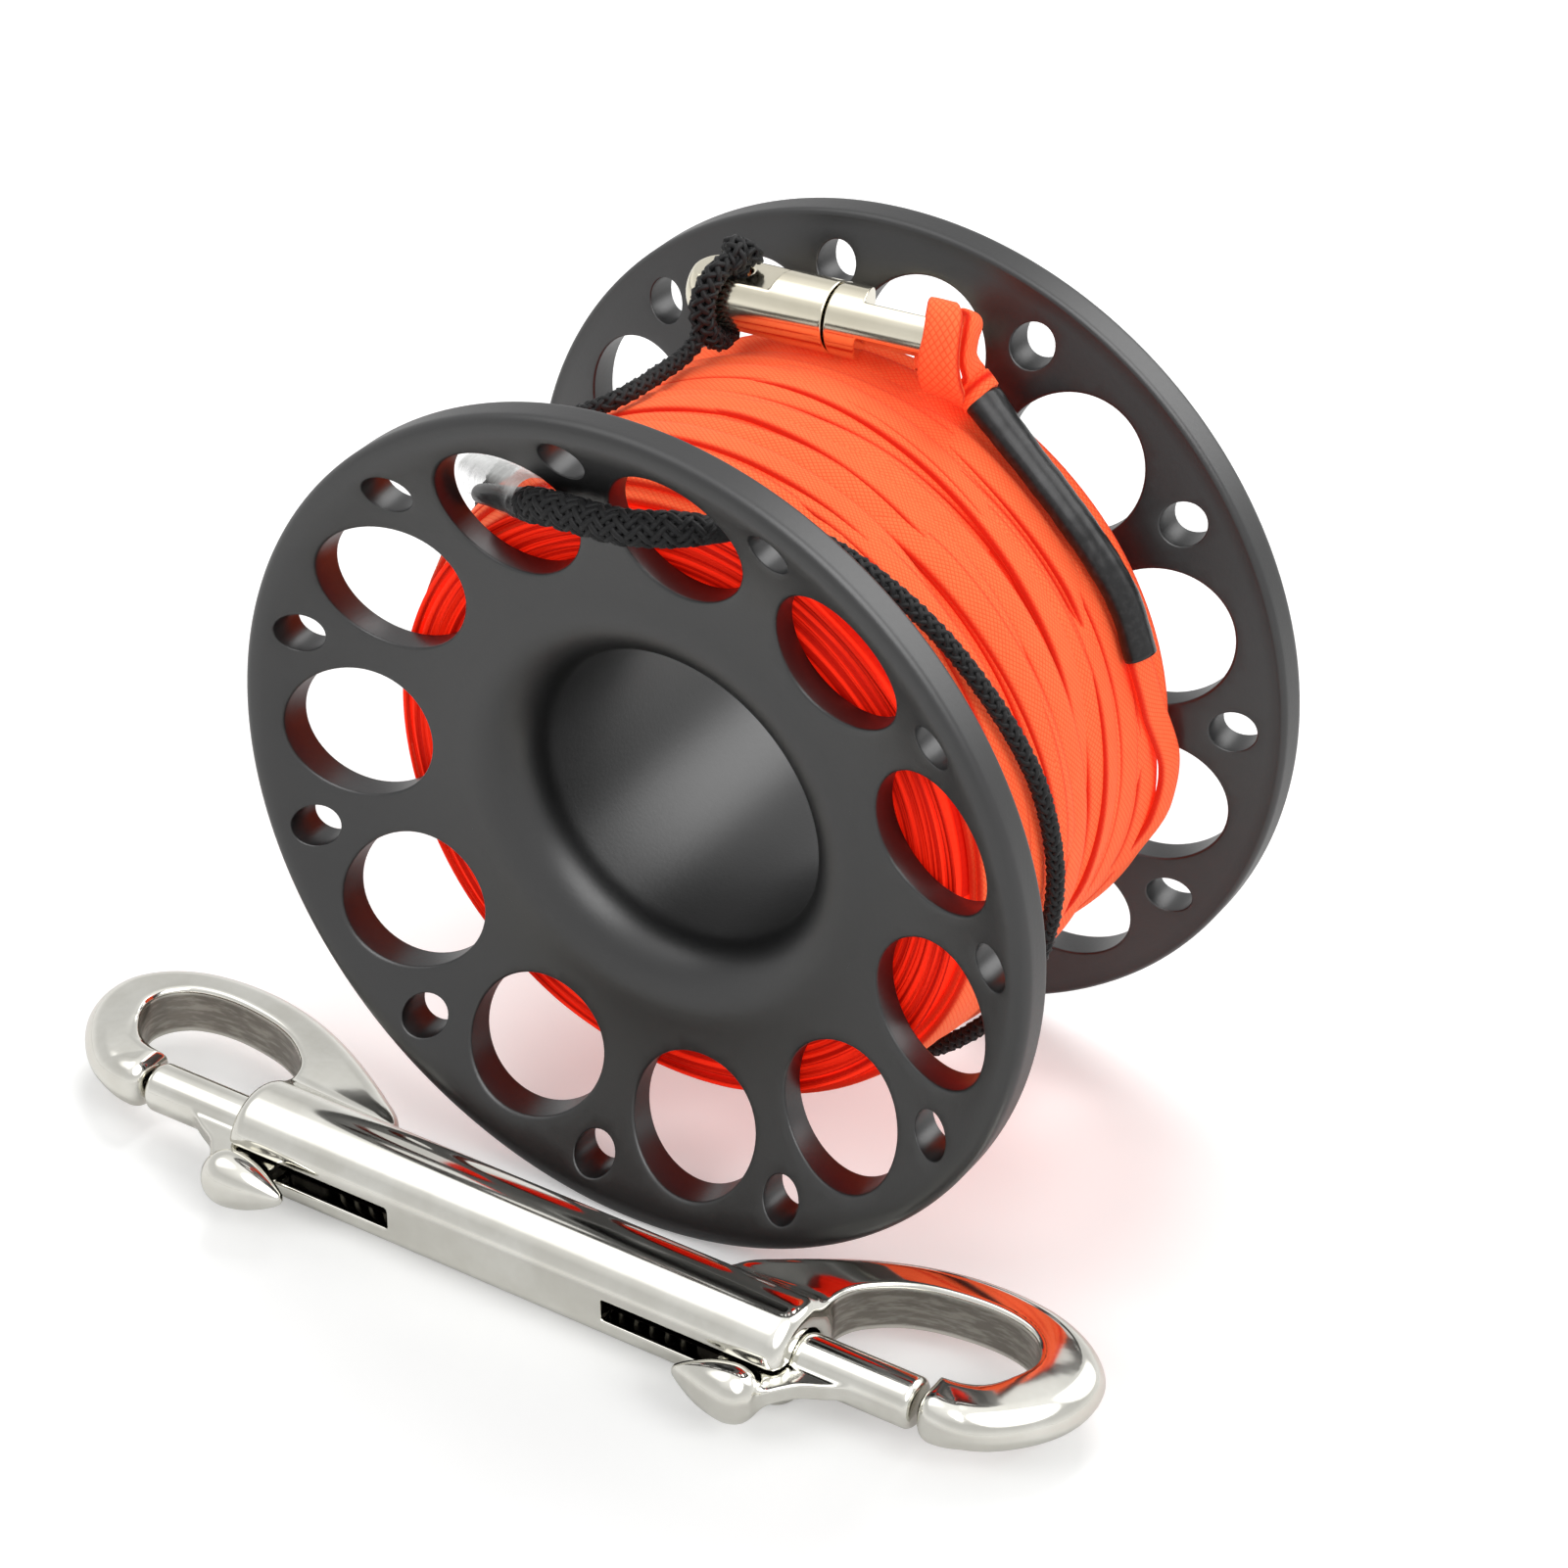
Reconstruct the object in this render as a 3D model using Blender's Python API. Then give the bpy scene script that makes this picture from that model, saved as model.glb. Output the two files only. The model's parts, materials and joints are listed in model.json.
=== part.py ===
"""Finger spool for a safety line, with its double-ended bolt snap.

Metres, +Z up, the floor at zero. The spool stands on the rims of its flanges with its axis along Y,
and the bolt snap lies in front of it, parallel to X.
"""

from math import cos, pi, radians, sin, tau

import bmesh
import bpy
import numpy as np
from mathutils import Matrix, Vector

mm = 0.001

# Gaps between pieces and overrun of cutters
touch_gap = 0.3 * mm
cut_overrun = 2.0 * mm

# Surfaces meet in a sharp edge above this angle, and rounded corners turn in these steps
sharp_angle = radians(35)
corner_turns = (radians(0), radians(30), radians(60), radians(90))
curve_steps = 24

# Spool: one turned piece
flange_radius = 45.0 * mm
spool_width = 54.4 * mm
finger_bore_radius = 16.0 * mm
bore_lip_radius = 6.0 * mm
lip_land = 1.7 * mm
dish_depth = 6.25 * mm
rim_width = 2.4 * mm
rim_step = 0.28 * mm
rim_round = 1.0 * mm
rim_back_round = 0.7 * mm
hub_radius = 19.5 * mm
flange_hub_width = 10.5 * mm
channel_width = spool_width - 2 * flange_hub_width
flange_lean = 6.9 * mm
flange_lean_power = 1.5
hub_fillet = 0.5 * mm
turning_sides = 60
channel_ring_share = 0.45
dish_rings = 3
rim_flat = 0.84 * mm

# Holes drilled through both flanges
hole_count = 11
first_hole_angle = radians(82.85)
hole_rim_land = 4.0 * mm
hole_hub_land = 6.9 * mm
hole_side_land = 4.3 * mm
large_hole_circle = (flange_radius - hole_rim_land + hub_radius + hole_hub_land) / 2
large_hole_reach = (flange_radius - hole_rim_land - hub_radius - hole_hub_land) / 2
large_hole_radius = min(large_hole_reach, large_hole_circle * sin(pi / hole_count) - hole_side_land / 2)
small_hole_radius = 2.25 * mm
small_hole_inset = 5.0 * mm
small_hole_circle = flange_radius - small_hole_inset
large_hole_sides = 20
small_hole_sides = 10

# Flat line on the spool
line_width = 3.4 * mm
line_thickness = 1.0 * mm
line_edge_share = 0.75
core_sides = 48
core_crown_shares = (0.75, 0.45)
winding_radius = 34.9 * mm
winding_shoulder_drop = 2.1 * mm
winding_side_reach = 1.7 * mm
winding_half_width = channel_width / 2 + winding_side_reach
winding_turns = 8.1
winding_steps_per_turn = 24
skipped_turns = 0.7
climb_start_angle = radians(-26)
climb_end_angle = radians(17.6)
climb_end_inset = 3.7 * mm
climb_end_y = channel_width / 2 - climb_end_inset
climb_end_radius = 35.75 * mm
climb_overshoot = 0.3 * mm
climb_lift_share = 0.6
climb_return_share = 0.4

# Shrink sleeve over the line's end: half sizes across and in height, and its places on the winding
# as sideways, inset from the channel's far wall, and up
sleeve_half_width = 2.0 * mm
sleeve_half_height = 1.4 * mm
sleeve_mouth_flare = 1.16
sleeve_flare_start = 0.7
sleeve_sides = 10
sleeve_step = 2.6 * mm
sleeve_places = [
    (33.9, 3.7, 12.1),
    (31.9, 3.4, 16.9),
    (29.2, 3.6, 21.1),
    (25.0, 3.9, 26.0),
    (20.4, 3.5, 29.9),
    (16.9, 2.7, 32.3),
    (14.6, 2.0, 33.8),
]
sleeve_route = [Vector((x * mm, channel_width / 2 - inset * mm, z * mm)) for x, inset, z in sleeve_places]

# Swivel: a barrel in two halves on a headed pin
swivel_side = -1.5 * mm
swivel_inset = 2.1 * mm
swivel_height = 38.0 * mm
swivel_centre = Vector((swivel_side, channel_width / 2 - swivel_inset, swivel_height))
swivel_yaw = radians(2.0)
swivel_pitch = radians(2.2)
barrel_radius = 3.65 * mm
barrel_sides = 24
cord_half_length = 16.5 * mm
line_half_length = 13.8 * mm
barrel_end_round = 2.6 * mm
barrel_end_turns = (radians(0), radians(30), radians(60), radians(80))
seam_chamfer = 0.2 * mm
cord_tang_half = 2.65 * mm
cord_tang_start = 6.0 * mm
line_tang_half = 1.8 * mm
line_tang_start = 2.8 * mm
cord_tang_slant = radians(-11)
line_tang_slant = radians(17)
line_eye_roll = radians(-33.4)
cord_eye_inset = 4.6 * mm
cord_eye_radius = 1.9 * mm
line_eye_inset = 2.95 * mm
line_eye_radius = 2.1 * mm
eye_sides = 16
pin_radius = 1.0 * mm
pin_head_radius = 2.1 * mm
pin_head_length = 2.1 * mm
pin_head_seat = 1.7 * mm
pin_depth = 6.0 * mm
pin_sides = 16

# Line's end loop through the swivel's eye: places as (along, across, up) from the eye's centre, with
# the direction and size of the tape's width and its thickness there
loop_step = 1.25 * mm
loop_skipped_places = 5
mouth_tape_share = 0.9
mouth_gap_share = 1.6
mouth_leads = (0.6 * mm, 1.0 * mm, 2.0 * mm)
loop_route = [
    ((2.6, 1.3, -4.65), (-0.6, 0.7, 0.40), 3.0, 0.95),
    ((2.7, -0.1, -4.75), (-0.95, 0.25, 0.15), 3.3, 1.0),
    ((2.7, -1.5, -4.6), (-1, 0, 0), 3.6, 1.0),
    ((2.7, -2.95, -3.75), (-1, 0, 0), 3.7, 1.0),
    ((2.65, -4.15, -2.1), (-1, 0, 0), 3.8, 1.0),
    ((2.6, -4.6, -0.1), (-1, 0, 0), 3.8, 1.0),
    ((2.2, -4.3, 1.7), (-1, 0, 0), 3.6, 1.0),
    ((1.3, -3.3, 2.9), (-1, 0, 0), 2.9, 1.0),
    ((0.3, -1.95, 3.15), (-1, 0, 0), 2.2, 1.0),
    ((-0.5, -0.8, 2.8), (-1, 0, 0), 1.6, 1.0),
    ((-0.85, -0.1, 1.6), (-1, 0, 0), 1.1, 1.1),
    ((-0.85, 0.0, -1.4), (-1, 0, 0), 1.1, 1.1),
    ((-0.72, 0.0, -2.6), (-1, 0, 0.5), 1.1, 1.1),
    ((0.0, 0.0, -3.2), (0, 0, 1), 1.1, 1.1),
    ((0.72, 0.0, -2.6), (1, 0, 0.5), 1.1, 1.1),
    ((0.85, 0.0, -1.4), (1, 0, 0), 1.1, 1.1),
    ((0.85, 0.0, 1.4), (1, 0, 0), 1.1, 1.1),
    ((1.25, 0.45, 2.4), (0.7, -0.7, 0.0), 1.2, 1.0),
    ((2.15, 0.4, 3.0), (0, -1, 0), 2.1, 1.0),
    ((3.2, -0.2, 2.55), (0, -1, 0), 2.7, 1.0),
    ((3.75, -1.1, 1.1), (0, -1, 0), 3.0, 1.0),
    ((3.9, -0.9, -0.8), (0, -1, 0), 3.0, 1.0),
    ((4.0, 0.6, -2.0), (0, -1, -0.2), 3.0, 1.0),
]

# Lanyard: black cord from the swivel's other eye, once round the winding and out through a flange. Its
# places are laid out for these half widths of channel and spool, and shift with them
laid_channel_half = 16.7 * mm
laid_spool_half = 27.2 * mm
far_shift = channel_width / 2 - laid_channel_half
near_shift = laid_spool_half - spool_width / 2
cord_radius = 0.9 * mm
cord_step = 5.0 * mm
cord_bevel_resolution = 2
knot_step = 1.5 * mm
knot_route = [
    ((1.5, 0.7, 5.2), 1.55),
    ((0.6, 0.3, 5.0), 1.65),
    ((0.0, 0.0, 3.9), 1.1),
    ((0.0, 0.0, 2.2), 0.9),
    ((0.0, 0.0, -2.2), 0.9),
    ((0.0, -0.6, -3.9), 1.0),
    ((-0.2, -2.5, -4.7), 1.05),
    ((-0.5, -4.6, -3.8), 1.4),
    ((-0.7, -5.6, -1.9), 1.6),
    ((-0.7, -5.75, 0.3), 1.6),
    ((-0.5, -5.2, 2.4), 1.5),
    ((-0.1, -3.9, 4.1), 1.3),
]
lanyard_route = [
    Vector((-14.7, 7.0, 33.2)) * mm,
    Vector((-14.9, 5.8, 33.1)) * mm,
    Vector((-15.2, 2.8, 33.0)) * mm,
    Vector((-15.4, -0.3, 32.95)) * mm,
    Vector((-16.6, -3.2, 32.4)) * mm,
    Vector((-20.2, -4.4, 30.2)) * mm,
    Vector((-26.1, -4.2, 25.3)) * mm,
    Vector((-32.6, -2.4, 16.2)) * mm,
    Vector((-36.2, 0.3, 3.8)) * mm,
    Vector((-35.0, 2.6, -9.8)) * mm,
    Vector((-28.2, 3.2, -22.9)) * mm,
    Vector((-16.5, 1.8, -32.4)) * mm,
    Vector((-2.2, -0.6, -36.3)) * mm,
    Vector((12.0, -3.0, -34.3)) * mm,
    Vector((22.1, -4.2, -28.8)) * mm,
    Vector((29.8, -4.9, -20.8)) * mm,
    Vector((34.4, -5.7, -11.5)) * mm,
    Vector((36.2, -6.6, -2.0)) * mm,
    Vector((35.5, -8.2, 7.5)) * mm,
    Vector((33.3, -9.7, 14.3)) * mm,
    Vector((30.0, -11.3, 20.4)) * mm,
    Vector((26.3, -12.4, 25.0)) * mm,
    Vector((21.8, -13.6, 29.0)) * mm,
    Vector((16.6, -15.0, 32.3)) * mm,
    Vector((12.3, -16.7, 34.2)) * mm,
    Vector((9.3, -18.6, 34.6)) * mm,
    Vector((7.4, -20.1, 34.0)) * mm,
]
splice_radius = 1.75 * mm
splice_step = 3.0 * mm
splice_route = [
    Vector((6.9, -20.7, 34.0)) * mm,
    Vector((5.8, -22.0, 34.5)) * mm,
    Vector((3.8, -23.7, 34.7)) * mm,
    Vector((0.5, -25.2, 34.6)) * mm,
    Vector((-3.7, -25.5, 34.4)) * mm,
    Vector((-6.5, -25.5, 34.3)) * mm,
    Vector((-9.1, -25.1, 33.8)) * mm,
    Vector((-11.7, -23.8, 32.6)) * mm,
]
band_radius = 1.7 * mm
tail_step = 1.6 * mm
tail_route = [
    ((-12.15, -23.6, 32.4), 1.7),
    ((-13.3, -22.8, 31.8), 1.65),
    ((-14.6, -22.1, 31.3), 1.35),
    ((-16.6, -21.1, 30.5), 1.2),
    ((-18.7, -20.0, 29.6), 1.1),
    ((-21.0, -18.6, 28.4), 0.95),
]

# Bolt snap, lying on its tube
snap_half_length = 59.7 * mm
snap_tube_radius = 5.4 * mm
snap_tube_half_length = 33.0 * mm
snap_tube_round = 1.0 * mm
snap_tube_sides = 28
snap_flat_distance = 4.9 * mm
snap_wall_behind_spring = 4.5 * mm
gate_bore_radius = 2.9 * mm
gate_bore_sides = 16
slot_height = 2.5 * mm
slot_length = 20.2 * mm
slot_end = snap_tube_half_length - slot_length
hook_reach = 17.6 * mm
hook_half_thickness = 2.9 * mm
hook_outer_round = 2.4 * mm
hook_inner_chamfer = 0.4 * mm
hook_round_shares = [(1.0, 1.0), (0.36, 0.80), (0.04, 0.36)]
hook_tip_share = 0.7755
hook_tip_place = snap_half_length * hook_tip_share - touch_gap
gate_radius = 2.6 * mm
gate_seat_depth = 11.0 * mm
gate_rear = snap_tube_half_length - gate_seat_depth
gate_tip_round = 0.5 * mm
gate_sides = 16
knob_centre = 8.1 * mm
knob_inset = 0.2 * mm
knob_outer_end = snap_tube_half_length - knob_inset
knob_length = 9.6 * mm
knob_half_depth = 2.6 * mm
knob_half_height = 3.0 * mm
knob_sides = 12
web_tip_land = 5.6 * mm
web_root = hook_tip_place - web_tip_land
web_knob_overlap = 6.4 * mm
web_length = web_root - knob_outer_end + web_knob_overlap
spring_wire_radius = 0.3 * mm
spring_curls = 6
spring_points_per_curl = 8

# Layout: the pair stands with its box centred on the origin
spool_offset_x = 3.4 * mm
snap_standoff = 13.2 * mm
spool_to_snap = spool_width / 2 + snap_standoff
knob_reach = knob_centre + knob_half_depth
spool_y = (spool_to_snap + knob_reach - spool_width / 2) / 2
snap_y = spool_y - spool_to_snap
spool_z = flange_radius * cos(pi / turning_sides)
snap_z = snap_tube_radius * cos(pi / snap_tube_sides)

# Outlines as shares. Hook: along from the snap's middle, and sideways of the hook's reach
hook_outer_shares = [
    (0.7755, -0.153), (0.838, -0.148), (0.898, -0.068), (0.951, 0.091), (0.987, 0.278),
    (1.0, 0.483), (0.987, 0.682), (0.941, 0.847), (0.874, 0.955), (0.796, 1.0),
    (0.717, 0.983), (0.643, 0.920), (0.580, 0.847), (0.519, 0.756), (0.461, 0.648),
    (0.402, 0.528), (0.348, 0.392), (0.310, 0.170),
]
hook_inner_shares = [
    (0.7755, 0.148), (0.814, 0.165), (0.848, 0.210), (0.874, 0.295), (0.889, 0.398),
    (0.893, 0.489), (0.881, 0.591), (0.853, 0.676), (0.814, 0.722), (0.767, 0.736),
    (0.714, 0.722), (0.663, 0.688), (0.620, 0.631), (0.585, 0.551), (0.559, 0.460),
    (0.546, 0.341), (0.543, 0.170), (0.520, 0.0),
]
knob_profile_shares = [
    (0.0, 0.0), (0.05, 0.20), (0.20, 0.42), (0.40, 0.68), (0.60, 0.93),
    (0.75, 1.0), (0.88, 0.86), (0.97, 0.50), (1.0, 0.0),
]
# The web between gate and knob: along from its root, and sideways of the knob's distance
web_shares = [
    (0.0, 0.0), (0.0, 0.19), (0.21, 0.42), (0.36, 0.56),
    (0.45, 0.72), (0.55, 0.95), (1.0, 0.95), (1.0, 0.0),
]


def clear_scene():
    for thing in list(bpy.data.objects):
        bpy.data.objects.remove(thing, do_unlink=True)


def material(name, colour, roughness, metallic):
    surface = bpy.data.materials.new(name)
    surface.use_nodes = True
    shader = surface.node_tree.nodes["Principled BSDF"]
    shader.inputs["Base Color"].default_value = (*colour, 1)
    shader.inputs["Roughness"].default_value = roughness
    shader.inputs["Metallic"].default_value = metallic
    surface.diffuse_color = (*colour, 1)
    return surface


def empty(name, location, rotation=(0, 0, 0), parent=None):
    frame = bpy.data.objects.new(name, None)
    bpy.context.scene.collection.objects.link(frame)
    frame.location = location
    frame.rotation_euler = rotation
    frame.parent = parent
    return frame


def place(name, data, surface, parent):
    piece = bpy.data.objects.new(name, data)
    bpy.context.scene.collection.objects.link(piece)
    piece.parent = parent
    if surface is not None:
        data.materials.append(surface)
    return piece


def mesh_from(name, vertices, faces):
    mesh = bpy.data.meshes.new(name)
    mesh.from_pydata([tuple(vertex) for vertex in vertices], [], faces)
    work = bmesh.new()
    work.from_mesh(mesh)
    bmesh.ops.recalc_face_normals(work, faces=work.faces)
    work.to_mesh(mesh)
    work.free()
    mesh.shade_smooth()
    mesh.set_sharp_from_angle(angle=sharp_angle)
    return mesh


def turned(outline, sides, axis, phase=0.0):
    """Turn (radius, along) points round an axis, "X" or "Y". A ring outline starts again at its first
    point, and a solid one starts and ends on the axis with radius zero."""
    solid = outline[0][0] == 0
    vertices = []
    rings = []
    for radius, along in outline:
        count = 1 if radius == 0 else sides
        ring = []
        for step in range(count):
            angle = phase + tau * step / sides
            first, second = radius * cos(angle), radius * sin(angle)
            ring.append(len(vertices))
            vertices.append((along, first, second) if axis == "X" else (first, along, second))
        rings.append(ring)
    pairs = list(zip(rings, rings[1:]))
    if not solid:
        pairs.append((rings[-1], rings[0]))
    faces = []
    for one, other in pairs:
        for step in range(sides):
            ahead = (step + 1) % sides
            corners = [one[step % len(one)], one[ahead % len(one)]]
            corners += [other[ahead % len(other)], other[step % len(other)]]
            face = [corner for index, corner in enumerate(corners) if corner not in corners[:index]]
            faces.append(face)
    return vertices, faces


def box(low, high):
    sides = list(zip(low, high))
    corners = [(x, y, z) for x in sides[0] for y in sides[1] for z in sides[2]]
    faces = [(0, 1, 3, 2), (4, 6, 7, 5), (0, 4, 5, 1), (2, 3, 7, 6), (0, 2, 6, 4), (1, 5, 7, 3)]
    return corners, faces


def drilled(radius, sides, start, end, centre):
    """A drill of one radius along Y from start to end, with its centre given as (x, z)."""
    outline = [(0, start), (radius, start), (radius, end), (0, end)]
    vertices, faces = turned(outline, sides, "Y")
    return [(x + centre[0], y, z + centre[1]) for x, y, z in vertices], faces


def joined(shapes):
    vertices = []
    faces = []
    for shape_vertices, shape_faces in shapes:
        base = len(vertices)
        vertices += shape_vertices
        faces += [tuple(base + corner for corner in face) for face in shape_faces]
    return vertices, faces


def boolean(piece, name, shape, operation="DIFFERENCE", rotation=(0, 0, 0)):
    tool = place(name, mesh_from(name, *shape), None, piece.parent)
    tool.rotation_euler = rotation
    tool.hide_render = True
    tool.display_type = "WIRE"
    change = piece.modifiers.new(name, "BOOLEAN")
    change.operation = operation
    change.solver = "EXACT"
    change.object = tool
    return tool


def smooth_route(points, step):
    """Even points on a Catmull-Rom curve through rows of numbers, spaced by their first three."""
    rows = np.array(points, dtype=float)
    padded = np.vstack([2 * rows[0] - rows[1], rows, 2 * rows[-1] - rows[-2]])
    fine = []
    shares = np.linspace(0, 1, curve_steps, endpoint=False)
    for before, start, end, after in zip(padded, padded[1:], padded[2:], padded[3:]):
        for share in shares:
            curve = 2 * start + (end - before) * share
            curve = curve + (2 * before - 5 * start + 4 * end - after) * share ** 2
            curve = curve + (3 * start - before - 3 * end + after) * share ** 3
            fine.append(curve / 2)
    fine.append(rows[-1])
    fine = np.array(fine)
    lengths = np.linalg.norm(np.diff(fine[:, :3], axis=0), axis=1)
    travelled = np.concatenate([[0], np.cumsum(lengths)])
    count = max(2, round(travelled[-1] / step))
    marks = np.linspace(0, travelled[-1], count + 1)
    columns = [np.interp(marks, travelled, fine[:, column]) for column in range(rows.shape[1])]
    return np.array(columns).T


def swept(centres, width_directions, half_widths, half_heights, section):
    """Sweep a section, given as shares of the half width and half height, along the centres."""
    centres = np.array(centres)
    tangents = np.gradient(centres, axis=0)
    vertices = []
    for centre, tangent, width, half_width, half_height in zip(
        centres, tangents, width_directions, half_widths, half_heights
    ):
        tangent = tangent / np.linalg.norm(tangent)
        across = np.array(width) - tangent * np.dot(width, tangent)
        across = across / np.linalg.norm(across)
        outward = np.cross(tangent, across)
        across = across * half_width
        outward = outward * half_height
        for share_across, share_out in section:
            vertices.append(centre + across * share_across + outward * share_out)
    sides = len(section)
    rings = len(centres)
    faces = [tuple(range(sides)), tuple((rings - 1) * sides + side for side in range(sides))]
    for ring in range(rings - 1):
        for side in range(sides):
            ahead = (side + 1) % sides
            low, high = ring * sides, (ring + 1) * sides
            faces.append((low + side, low + ahead, high + ahead, high + side))
    return vertices, faces


def tube_curve(name, points, radius, surface, parent, bevel=cord_bevel_resolution, radii=None):
    curve = bpy.data.curves.new(name, "CURVE")
    curve.dimensions = "3D"
    curve.bevel_depth = radius
    curve.bevel_resolution = bevel
    curve.use_fill_caps = True
    spline = curve.splines.new("POLY")
    spline.points.add(len(points) - 1)
    for index, point in enumerate(points):
        spline.points[index].co = (*point, 1)
        spline.points[index].radius = 1 if radii is None else radii[index] / radius
    return place(name, curve, surface, parent)


def least_own_gap(centres, ring_points, skip):
    """Least distance between surface points of stretches that lie more than skip places apart."""
    rings = np.array([np.array(point) for point in ring_points]).reshape(len(centres), -1, 3)
    least = np.inf
    for index in range(len(rings) - skip):
        later = rings[index + skip:].reshape(-1, 3)
        apart = np.linalg.norm(rings[index][:, None, :] - later[None, :, :], axis=2)
        least = min(least, apart.min())
    return least


# Unit sections
flat_section = [
    (-1, 0), (-line_edge_share, 1), (line_edge_share, 1),
    (1, 0), (line_edge_share, -1), (-line_edge_share, -1),
]
sleeve_turns = [tau * side / sleeve_sides for side in range(sleeve_sides)]
oval_section = [(cos(turn), sin(turn)) for turn in sleeve_turns]


# Shapes of the spool's faces
def channel_face(radius):
    """Distance from the spool's middle to a flange's inner face."""
    share = (radius - hub_radius) / (flange_radius - hub_radius)
    return channel_width / 2 + flange_lean * max(share, 0) ** flange_lean_power


def outer_face(radius):
    """Distance from the spool's middle to a flange's dished outer face."""
    lip_edge = finger_bore_radius + bore_lip_radius + lip_land
    rim_edge = flange_radius - rim_width
    share = (radius - lip_edge) / (rim_edge - lip_edge)
    low = spool_width / 2 - dish_depth
    high = spool_width / 2 - rim_step
    return low + (high - low) * max(share, 0) ** 2


def winding_outside(y):
    return winding_radius - winding_shoulder_drop * (abs(y) / winding_half_width) ** 3


def spool_half_outline():
    """Points from the hub's middle out over one flange and back into the finger bore."""
    half_width = spool_width / 2
    rim_edge = flange_radius - rim_width
    lip_centre = finger_bore_radius + bore_lip_radius
    lip_edge = lip_centre + lip_land
    points = [(hub_radius, channel_width / 2 - hub_fillet)]
    points.append((hub_radius + hub_fillet, channel_face(hub_radius + hub_fillet)))
    radius = hub_radius + (flange_radius - hub_radius) * channel_ring_share
    points.append((radius, channel_face(radius)))
    back_edge = flange_radius - rim_back_round
    points.append((back_edge, channel_face(back_edge)))
    points.append((flange_radius, channel_face(flange_radius) + rim_back_round))
    points.append((flange_radius, half_width - rim_round))
    for angle in corner_turns[1:]:
        radius = flange_radius - rim_round * (1 - cos(angle))
        points.append((radius, half_width - rim_round * (1 - sin(angle))))
    points.append((rim_edge + rim_flat, half_width))
    for ring in range(dish_rings + 1):
        radius = rim_edge + (lip_edge - rim_edge) * ring / dish_rings
        points.append((radius, outer_face(radius)))
    low = outer_face(lip_edge)
    for angle in corner_turns:
        radius = lip_centre - bore_lip_radius * sin(angle)
        points.append((radius, low - bore_lip_radius * (1 - cos(angle))))
    return points


def make_spool(surface, frame):
    half = spool_half_outline()
    outline = half + [(radius, -along) for radius, along in reversed(half)]
    # A facet of the turning faces the floor, so the spool stands on two flats
    phase = -pi / 2 + pi / turning_sides
    shape = turned(outline, turning_sides, "Y", phase)
    spool = place("spool", mesh_from("spool", *shape), surface, frame)
    reach = spool_width / 2 + cut_overrun
    drills = []
    for index in range(hole_count):
        angle = first_hole_angle + tau * index / hole_count
        centre = (large_hole_circle * cos(angle), large_hole_circle * sin(angle))
        drills.append((large_hole_radius, large_hole_sides, centre))
        angle += pi / hole_count
        centre = (small_hole_circle * cos(angle), small_hole_circle * sin(angle))
        drills.append((small_hole_radius, small_hole_sides, centre))
    shapes = []
    for side in (-1, 1):
        # Each drill passes one flange and ends over the channel, clear of the hub
        for radius, sides, centre in drills:
            shapes.append(drilled(radius, sides, side * channel_width / 4, side * reach, centre))
    boolean(spool, "flange_drills", joined(shapes))
    return spool


def make_line_core(surface, frame):
    inner = hub_radius + touch_gap
    chord_drop = winding_radius * (1 - cos(pi / winding_steps_per_turn))
    under_line = line_thickness + touch_gap + chord_drop

    def side_wall(radius):
        return min(channel_face(radius) - touch_gap, winding_half_width)

    shoulder = winding_outside(winding_half_width) - under_line
    half = [(inner, side_wall(inner) - hub_fillet)]
    for radius in (inner + hub_fillet, (inner + shoulder) / 2, shoulder):
        half.append((radius, side_wall(radius)))
    for share in core_crown_shares:
        along = winding_half_width * share
        half.append((winding_outside(along) - under_line, along))
    outline = half + [(radius, -along) for radius, along in reversed(half)]
    core = turned(outline, core_sides, "Y")
    return place("line_core", mesh_from("line_core", *core), surface, frame)


def winding_path():
    """Centres, width directions and sizes of the outer layer and its climb to the sleeve."""
    last_y = winding_half_width - line_width / 2 - touch_gap
    pitch = 2 * last_y / winding_turns
    start_angle = climb_start_angle - tau * winding_turns
    steps = round(winding_turns * winding_steps_per_turn)
    climb_steps = round((climb_end_angle - climb_start_angle) / tau * winding_steps_per_turn) * 2
    centres = []
    directions = []

    def add(angle, y, radius, slope):
        outward = Vector((cos(angle), 0, sin(angle)))
        centres.append(outward * radius + Vector((0, y, 0)))
        directions.append(outward * slope + Vector((0, 1, 0)))

    def slope_at(y):
        return (winding_outside(y + touch_gap) - winding_outside(y - touch_gap)) / (2 * touch_gap)

    for step in range(steps + 1):
        share = step / steps
        y = -last_y + pitch * winding_turns * share
        angle = start_angle + tau * winding_turns * share
        add(angle, y, winding_outside(y) - line_thickness / 2, slope_at(y))
    low_radius = winding_outside(last_y) - line_thickness / 2
    for step in range(1, climb_steps + 1):
        share = step / climb_steps
        lift = min(1, share / climb_lift_share)
        lift = lift * lift * (3 - 2 * lift)
        back = max(0, (share - climb_return_share) / (1 - climb_return_share))
        back = back * back * (3 - 2 * back)
        y = last_y + climb_overshoot * min(1, share / climb_return_share) * (1 - back)
        y += (climb_end_y - last_y) * back
        radius = low_radius + (climb_end_radius - low_radius) * lift
        angle = climb_start_angle + (climb_end_angle - climb_start_angle) * share
        add(angle, y, radius, slope_at(last_y) * (1 - lift))
    return centres, directions


def make_line_winding(surface, frame):
    centres, directions = winding_path()
    count = len(centres)
    vertices, faces = swept(
        centres, directions, [line_width / 2] * count, [line_thickness / 2] * count, flat_section
    )
    least = least_own_gap(centres, vertices, round(winding_steps_per_turn * skipped_turns))
    print("line_winding: least gap to itself", round(least / mm, 3), "mm")
    return place("line_winding", mesh_from("line_winding", vertices, faces), surface, frame)


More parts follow.
